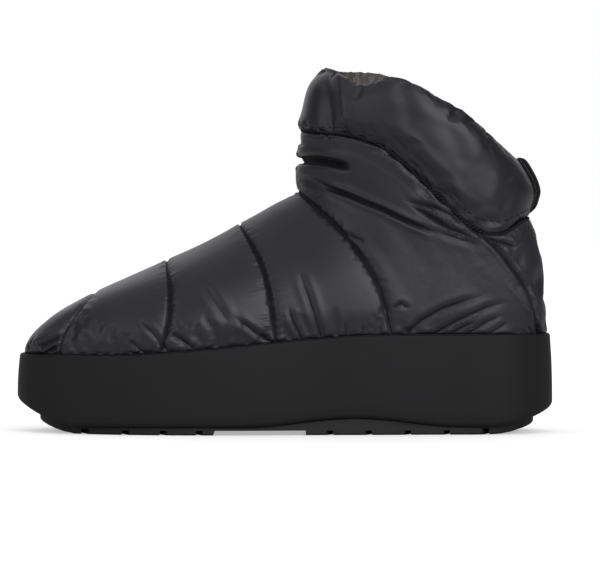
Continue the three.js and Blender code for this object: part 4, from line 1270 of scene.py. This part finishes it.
def makeLoop():
    values = loopValues
    rows = np.arange(collarOuterRows * 2 - 1)
    line, normal = backProfile(collarFine[:, 0], rows)
    lengths = np.concatenate([[0], np.cumsum(np.linalg.norm(np.diff(line, axis=0), axis=1))])
    share = np.linspace(values["from"], values["to"], values["steps"])
    at = share * lengths[-1]
    centres = np.stack([np.interp(at, lengths, line[:, k]) for k in range(3)], -1)
    out = np.stack([np.interp(at, lengths, normal[:, k]) for k in range(3)], -1)
    for _ in range(12):
        out[1:-1] = (out[:-2] + out[1:-1] + out[2:]) / 3
    out /= np.linalg.norm(out, axis=1, keepdims=True)
    t = np.linspace(0, 1, values["steps"])
    # two layers that meet in rounded ends: each is half as thick, and they thin towards the seam
    thick = values["thickness"] / 2 * (0.35 + 0.65 * smooth(t, 0, 0.22)) * np.sqrt(np.clip(1 - ((t - 0.9) / 0.1).clip(0, 1) ** 2, 0.12, 1))
    acrosses = np.tile([0.0, 1.0, 0.0], (values["steps"], 1))
    for _ in range(4):
        thick[1:-1] = (thick[:-2] + thick[1:-1] + thick[2:]) / 3
    near = roundedBand(centres + out * (thick / 2)[:, None], out, acrosses, values["width"], thick, "pullLoopWoven")
    far = roundedBand(centres + out * (thick * 1.5)[:, None], out, acrosses, values["width"] - 0.5, thick, "pullLoopOuter")
    return joined(near, far)


heelTape = makeTape()
pullLoop = makeLoop()
print("webbing made")

# ---- stitches along the seams, by geometry nodes

stitchValues = {"length": 0.0032, "pitch": 0.0042, "radius": 0.00032}


def makeStitchTree():
    tree = bpy.data.node_groups.new("stitchesAlongLine", "GeometryNodeTree")
    tree.interface.new_socket(name="Geometry", in_out="INPUT", socket_type="NodeSocketGeometry")
    for label in ("Pitch", "Length", "Radius"):
        tree.interface.new_socket(name=label, in_out="INPUT", socket_type="NodeSocketFloat")
    tree.interface.new_socket(name="Thread", in_out="INPUT", socket_type="NodeSocketMaterial")
    tree.interface.new_socket(name="Geometry", in_out="OUTPUT", socket_type="NodeSocketGeometry")
    inside, out = tree.nodes.new("NodeGroupInput"), tree.nodes.new("NodeGroupOutput")
    curve = addNode(tree, "GeometryNodeMeshToCurve", {"Mesh": inside.outputs["Geometry"]})
    even = addNode(tree, "GeometryNodeResampleCurve", {"Curve": curve.outputs[0], "Length": inside.outputs["Pitch"]}, mode="LENGTH")
    tangent = tree.nodes.new("GeometryNodeInputTangent")
    turned = addNode(tree, "FunctionNodeAlignRotationToVector", {"Vector": tangent.outputs[0]}, axis="Z")
    grain = addNode(tree, "GeometryNodeMeshUVSphere", {"Segments": 8, "Rings": 6, "Radius": 1.0})
    half = mathNode(tree, "MULTIPLY", inside.outputs["Length"], 0.5)
    size = addNode(tree, "ShaderNodeCombineXYZ", {0: inside.outputs["Radius"], 1: inside.outputs["Radius"], 2: half})
    shaped = addNode(tree, "GeometryNodeTransform", {"Geometry": grain.outputs[0], "Scale": size.outputs[0]})
    placed = addNode(tree, "GeometryNodeInstanceOnPoints", {"Points": even.outputs[0], "Instance": shaped.outputs[0], "Rotation": turned.outputs[0]})
    real = addNode(tree, "GeometryNodeRealizeInstances", {0: placed.outputs[0]})
    coloured = addNode(tree, "GeometryNodeSetMaterial", {"Geometry": real.outputs[0], "Material": inside.outputs["Thread"]})
    tree.links.new(coloured.outputs[0], out.inputs[0])
    return tree


stitchTree = makeStitchTree()


def stitchesOn(name, lines):
    # each line is a run of places on the finished skin
    points, edges = [], []
    for line in lines:
        start = len(points)
        points += ((np.asarray(line) - [0, sidewaysMiddle, 0]) * 0.001).tolist()
        edges += [(start + i, start + i + 1) for i in range(len(line) - 1)]
    mesh = bpy.data.meshes.new(name)
    mesh.from_pydata(points, edges, [])
    obj = bpy.data.objects.new(name, mesh)
    bpy.context.scene.collection.objects.link(obj)
    modifier = obj.modifiers.new("stitches", "NODES")
    modifier.node_group = stitchTree
    inputs = {item.name: item.identifier for item in stitchTree.interface.items_tree if item.in_out == "INPUT"}
    modifier[inputs["Pitch"]] = stitchValues["pitch"]
    modifier[inputs["Length"]] = stitchValues["length"]
    modifier[inputs["Radius"]] = stitchValues["radius"]
    modifier[inputs["Thread"]] = thread
    bpy.context.view_layer.update()
    made = bpy.data.meshes.new_from_object(obj.evaluated_get(bpy.context.evaluated_depsgraph_get()))
    obj.modifiers.remove(modifier)
    obj.data = made
    if not made.materials:
        made.materials.append(thread)
    made.polygons.foreach_set("use_smooth", np.ones(len(made.polygons), bool))
    print(name, len(made.polygons), "faces")
    return obj


def makeBraid(line, values):
    # two thick threads that wind about each other along a closed line
    closed = np.vstack([line, line[:1]])
    lengths = np.concatenate([[0], np.cumsum(np.linalg.norm(np.diff(closed, axis=0), axis=1))])
    count = int(lengths[-1] / values["step"])
    at = np.linspace(0, lengths[-1], count, endpoint=False)
    path = np.stack([np.interp(at, lengths, closed[:, k]) for k in range(3)], -1)
    for _ in range(6):
        path = (np.roll(path, 1, 0) + path + np.roll(path, -1, 0)) / 3
    way = np.roll(path, -1, 0) - np.roll(path, 1, 0)
    way /= np.linalg.norm(way, axis=1, keepdims=True)
    across = np.cross(way, [0, 0, 1.0])
    across /= np.linalg.norm(across, axis=1, keepdims=True)
    up = np.cross(across, way)
    turns = round(lengths[-1] / values["pitch"]) * 2 * math.pi * at / lengths[-1]
    random = np.random.default_rng(5)
    uneven = 1 + 0.25 * np.interp(at, np.linspace(0, lengths[-1], 60), random.normal(0, 1, 60))
    uneven = np.clip(uneven, 0.6, 1.5)[:, None]
    points, faces, sides = [], [], values["sides"]
    for phase in (0, math.pi):
        swing = (np.cos(turns + phase)[:, None] * across + np.sin(turns + phase)[:, None] * up) * values["swing"] * uneven
        centre = path + swing
        start = len(points) * count * sides
        rings = []
        for k in range(sides):
            angle = 2 * math.pi * k / sides
            rings.append(centre + (across * math.cos(angle) + up * math.sin(angle)) * values["radius"] * uneven)
        points.append(np.stack(rings, 1).reshape(-1, 3))
        for i in range(count):
            after = (i + 1) % count
            for k in range(sides):
                m = (k + 1) % sides
                faces.append((start + i * sides + k, start + i * sides + m, start + after * sides + m, start + after * sides + k))
    return meshFrom("collarBraid", np.vstack(points), faces, [thread])


def seamLines():
    skin = upperSkin["outer"][upperSkin["slots"]]
    normals = upperSkin["normals"][upperSkin["slots"]]
    v = upperSkin["v"][:, 0]
    lines = []
    for row in quiltRows:
        r = int(np.argmin(np.abs(v - row)))
        line = skin[r] + normals[r] * 0.1
        keep = line[:, 2] > rimHeight(xToAlong(line[:, 0])) + 2
        lines.append(line[keep])
    return lines


quiltStitches = stitchesOn("quiltStitches", seamLines())


def nearestPoints(points, others):
    tree = kdtree.KDTree(len(others))
    for i, place in enumerate(others):
        tree.insert(place, i)
    tree.balance()
    return np.array([others[tree.find(point)[1]] for point in points.tolist()])


def outwardAlong(line):
    # directions away from the ankle's middle, level, and smoothed along a closed line
    way = np.roll(line, -1, 0) - np.roll(line, 1, 0)
    out = np.stack([way[:, 1], -way[:, 0], np.zeros(len(way))], -1)
    out *= np.sign(np.sum(out * (line - line.mean(0)), 1).sum())
    out /= np.maximum(np.linalg.norm(out, axis=1, keepdims=True), 1e-6)
    for _ in range(8):
        out = (np.roll(out, 1, 0) + out + np.roll(out, -1, 0)) / 3
    return out / np.linalg.norm(out, axis=1, keepdims=True)


braidValues = {"step": 0.7, "pitch": 4.2, "swing": 0.55, "radius": 0.6, "sides": 7, "outwards": 1.2}
collarEdge = collarFine[0]
shellEdge = upperSkin["outer"][upperSkin["slots"]][-1]
beside = nearestPoints(collarEdge, shellEdge)
outwards = outwardAlong(collarEdge)
braidLine = (collarEdge + beside) / 2 + outwards * braidValues["outwards"]
collarBraid = makeBraid(braidLine, braidValues)
collarLine = np.concatenate([collarFine[11], collarFine[11][:1]])
collarStitches = stitchesOn("collarStitches", [collarLine])

# ---- how each piece stands in the frame

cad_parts["outsole"].data.materials.clear()
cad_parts["outsole"].data.materials.append(rubber)
for piece, nodes, slotName in (
    (upperShell, ["upper"], "shell_nylon"), (collarCuff, ["collar"], "shell_nylon"),
    (midsoleWall, ["midsole"], "midsole_foam"), (insolePad, ["insole"], "insole_fabric"),
    (heelTape, ["heel_tape"], "webbing"), (pullLoop, ["pull_loop"], "webbing"),
    (quiltStitches, [], "webbing"), (collarStitches, [], "webbing"), (collarBraid, [], "webbing"),
):
    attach(piece, "root")
    if nodes:
        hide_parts(*nodes)

# ---- floor, light and camera

studio = {
    "floor": (0.62, 0.62, 0.62, 1), "floorGlow": (0.42, 0.42, 0.42, 1), "floorBounce": (0.38, 0.38, 0.38, 1),
    "floorSize": 9.0,
    "room": 0.75, "reflectedRoom": 0.15, "lightColour": (0.98, 0.96, 1.0),
    "pixel": 0.5327, "distance": 2500.0, "elevation": 1.0, "centre": (300, 284), "zero": (284.3, 431),
}


def makeFloor():
    size = studio["floorSize"]
    mesh = bpy.data.meshes.new("floor")
    mesh.from_pydata([(-size, -size, 0), (size, -size, 0), (size, size, 0), (-size, size, 0)], [], [(0, 1, 2, 3)])
    floor = bpy.data.objects.new("floor", mesh)
    bpy.context.scene.collection.objects.link(floor)
    material, tree, shader = newMaterial("paleFloor")
    # the floor throws less light back at the boot than it shows
    path = tree.nodes.new("ShaderNodeLightPath")
    shade = tree.nodes.new("ShaderNodeMix")
    shade.data_type = "RGBA"
    shade.inputs[6].default_value = studio["floorBounce"]
    shade.inputs[7].default_value = studio["floor"]
    tree.links.new(path.outputs["Is Camera Ray"], shade.inputs[0])
    tree.links.new(shade.outputs[2], shader.inputs["Base Color"])
    glow = tree.nodes.new("ShaderNodeMix")
    glow.data_type = "RGBA"
    glow.inputs[6].default_value = (0, 0, 0, 1)
    glow.inputs[7].default_value = studio["floorGlow"]
    tree.links.new(path.outputs["Is Camera Ray"], glow.inputs[0])
    tree.links.new(glow.outputs[2], shader.inputs["Emission Color"])
    shader.inputs["Emission Strength"].default_value = 1.0
    shader.inputs["Roughness"].default_value = 0.9
    shader.inputs["Specular IOR Level"].default_value = 0.1
    mesh.materials.append(material)


def makeSun(name, strength, angle, towards):
    light = bpy.data.lights.new(name, "SUN")
    light.energy = strength
    light.color = studio["lightColour"]
    light.angle = math.radians(angle)
    obj = bpy.data.objects.new(name, light)
    obj.rotation_mode = "QUATERNION"
    obj.rotation_quaternion = Vector(towards).to_track_quat("-Z", "Y")
    bpy.context.scene.collection.objects.link(obj)


def makeWorld():
    world = bpy.data.worlds.new("studio")
    bpy.context.scene.world = world
    world.use_nodes = True
    tree = world.node_tree
    background = tree.nodes["Background"]
    background.inputs["Color"].default_value = (1, 1, 1, 1)
    # reflections see a darker room than the floor does, as behind black flags in a studio
    path = tree.nodes.new("ShaderNodeLightPath")
    strength = addNode(tree, "ShaderNodeMapRange", {
        "Value": path.outputs["Is Glossy Ray"], "To Min": studio["room"], "To Max": studio["reflectedRoom"]})
    seen = addNode(tree, "ShaderNodeMapRange", {
        "Value": path.outputs["Is Camera Ray"], "To Min": strength.outputs["Result"], "To Max": 1.0})
    tree.links.new(seen.outputs["Result"], background.inputs["Strength"])


def makeCamera():
    data = bpy.data.cameras.new("camera")
    camera = bpy.data.objects.new("camera", data)
    bpy.context.scene.collection.objects.link(camera)
    data.sensor_width = 36
    k, distance = studio["pixel"], studio["distance"]
    data.lens = 36 * distance / (600 * k)
    elevation = math.radians(studio["elevation"])
    target = Vector(((studio["centre"][0] - studio["zero"][0]) * k, 0, (studio["zero"][1] - studio["centre"][1]) * k)) * 0.001
    back = Vector((0, -math.cos(elevation), math.sin(elevation)))
    camera.location = target + back * distance * 0.001
    camera.rotation_mode = "QUATERNION"
    camera.rotation_quaternion = (-back).to_track_quat("-Z", "Y")
    data.clip_start, data.clip_end = 0.05, 60
    bpy.context.scene.camera = camera


makeFloor()
makeSun("overhead", 0.45, 80, (0.1, 0.15, -1))
makeSun("frontSoft", 0.85, 55, (-0.3, 0.9, -0.2))
makeSun("leftSoft", 0.4, 45, (0.7, 0.6, -0.25))
makeSun("rightSoft", 0.65, 45, (-0.45, 0.7, -0.45))
makeSun("innerSoft", 0.7, 70, (0.1, -0.9, -0.35))
makeWorld()
makeCamera()
bpy.context.scene.view_settings.view_transform = "Standard"
print("studio made")
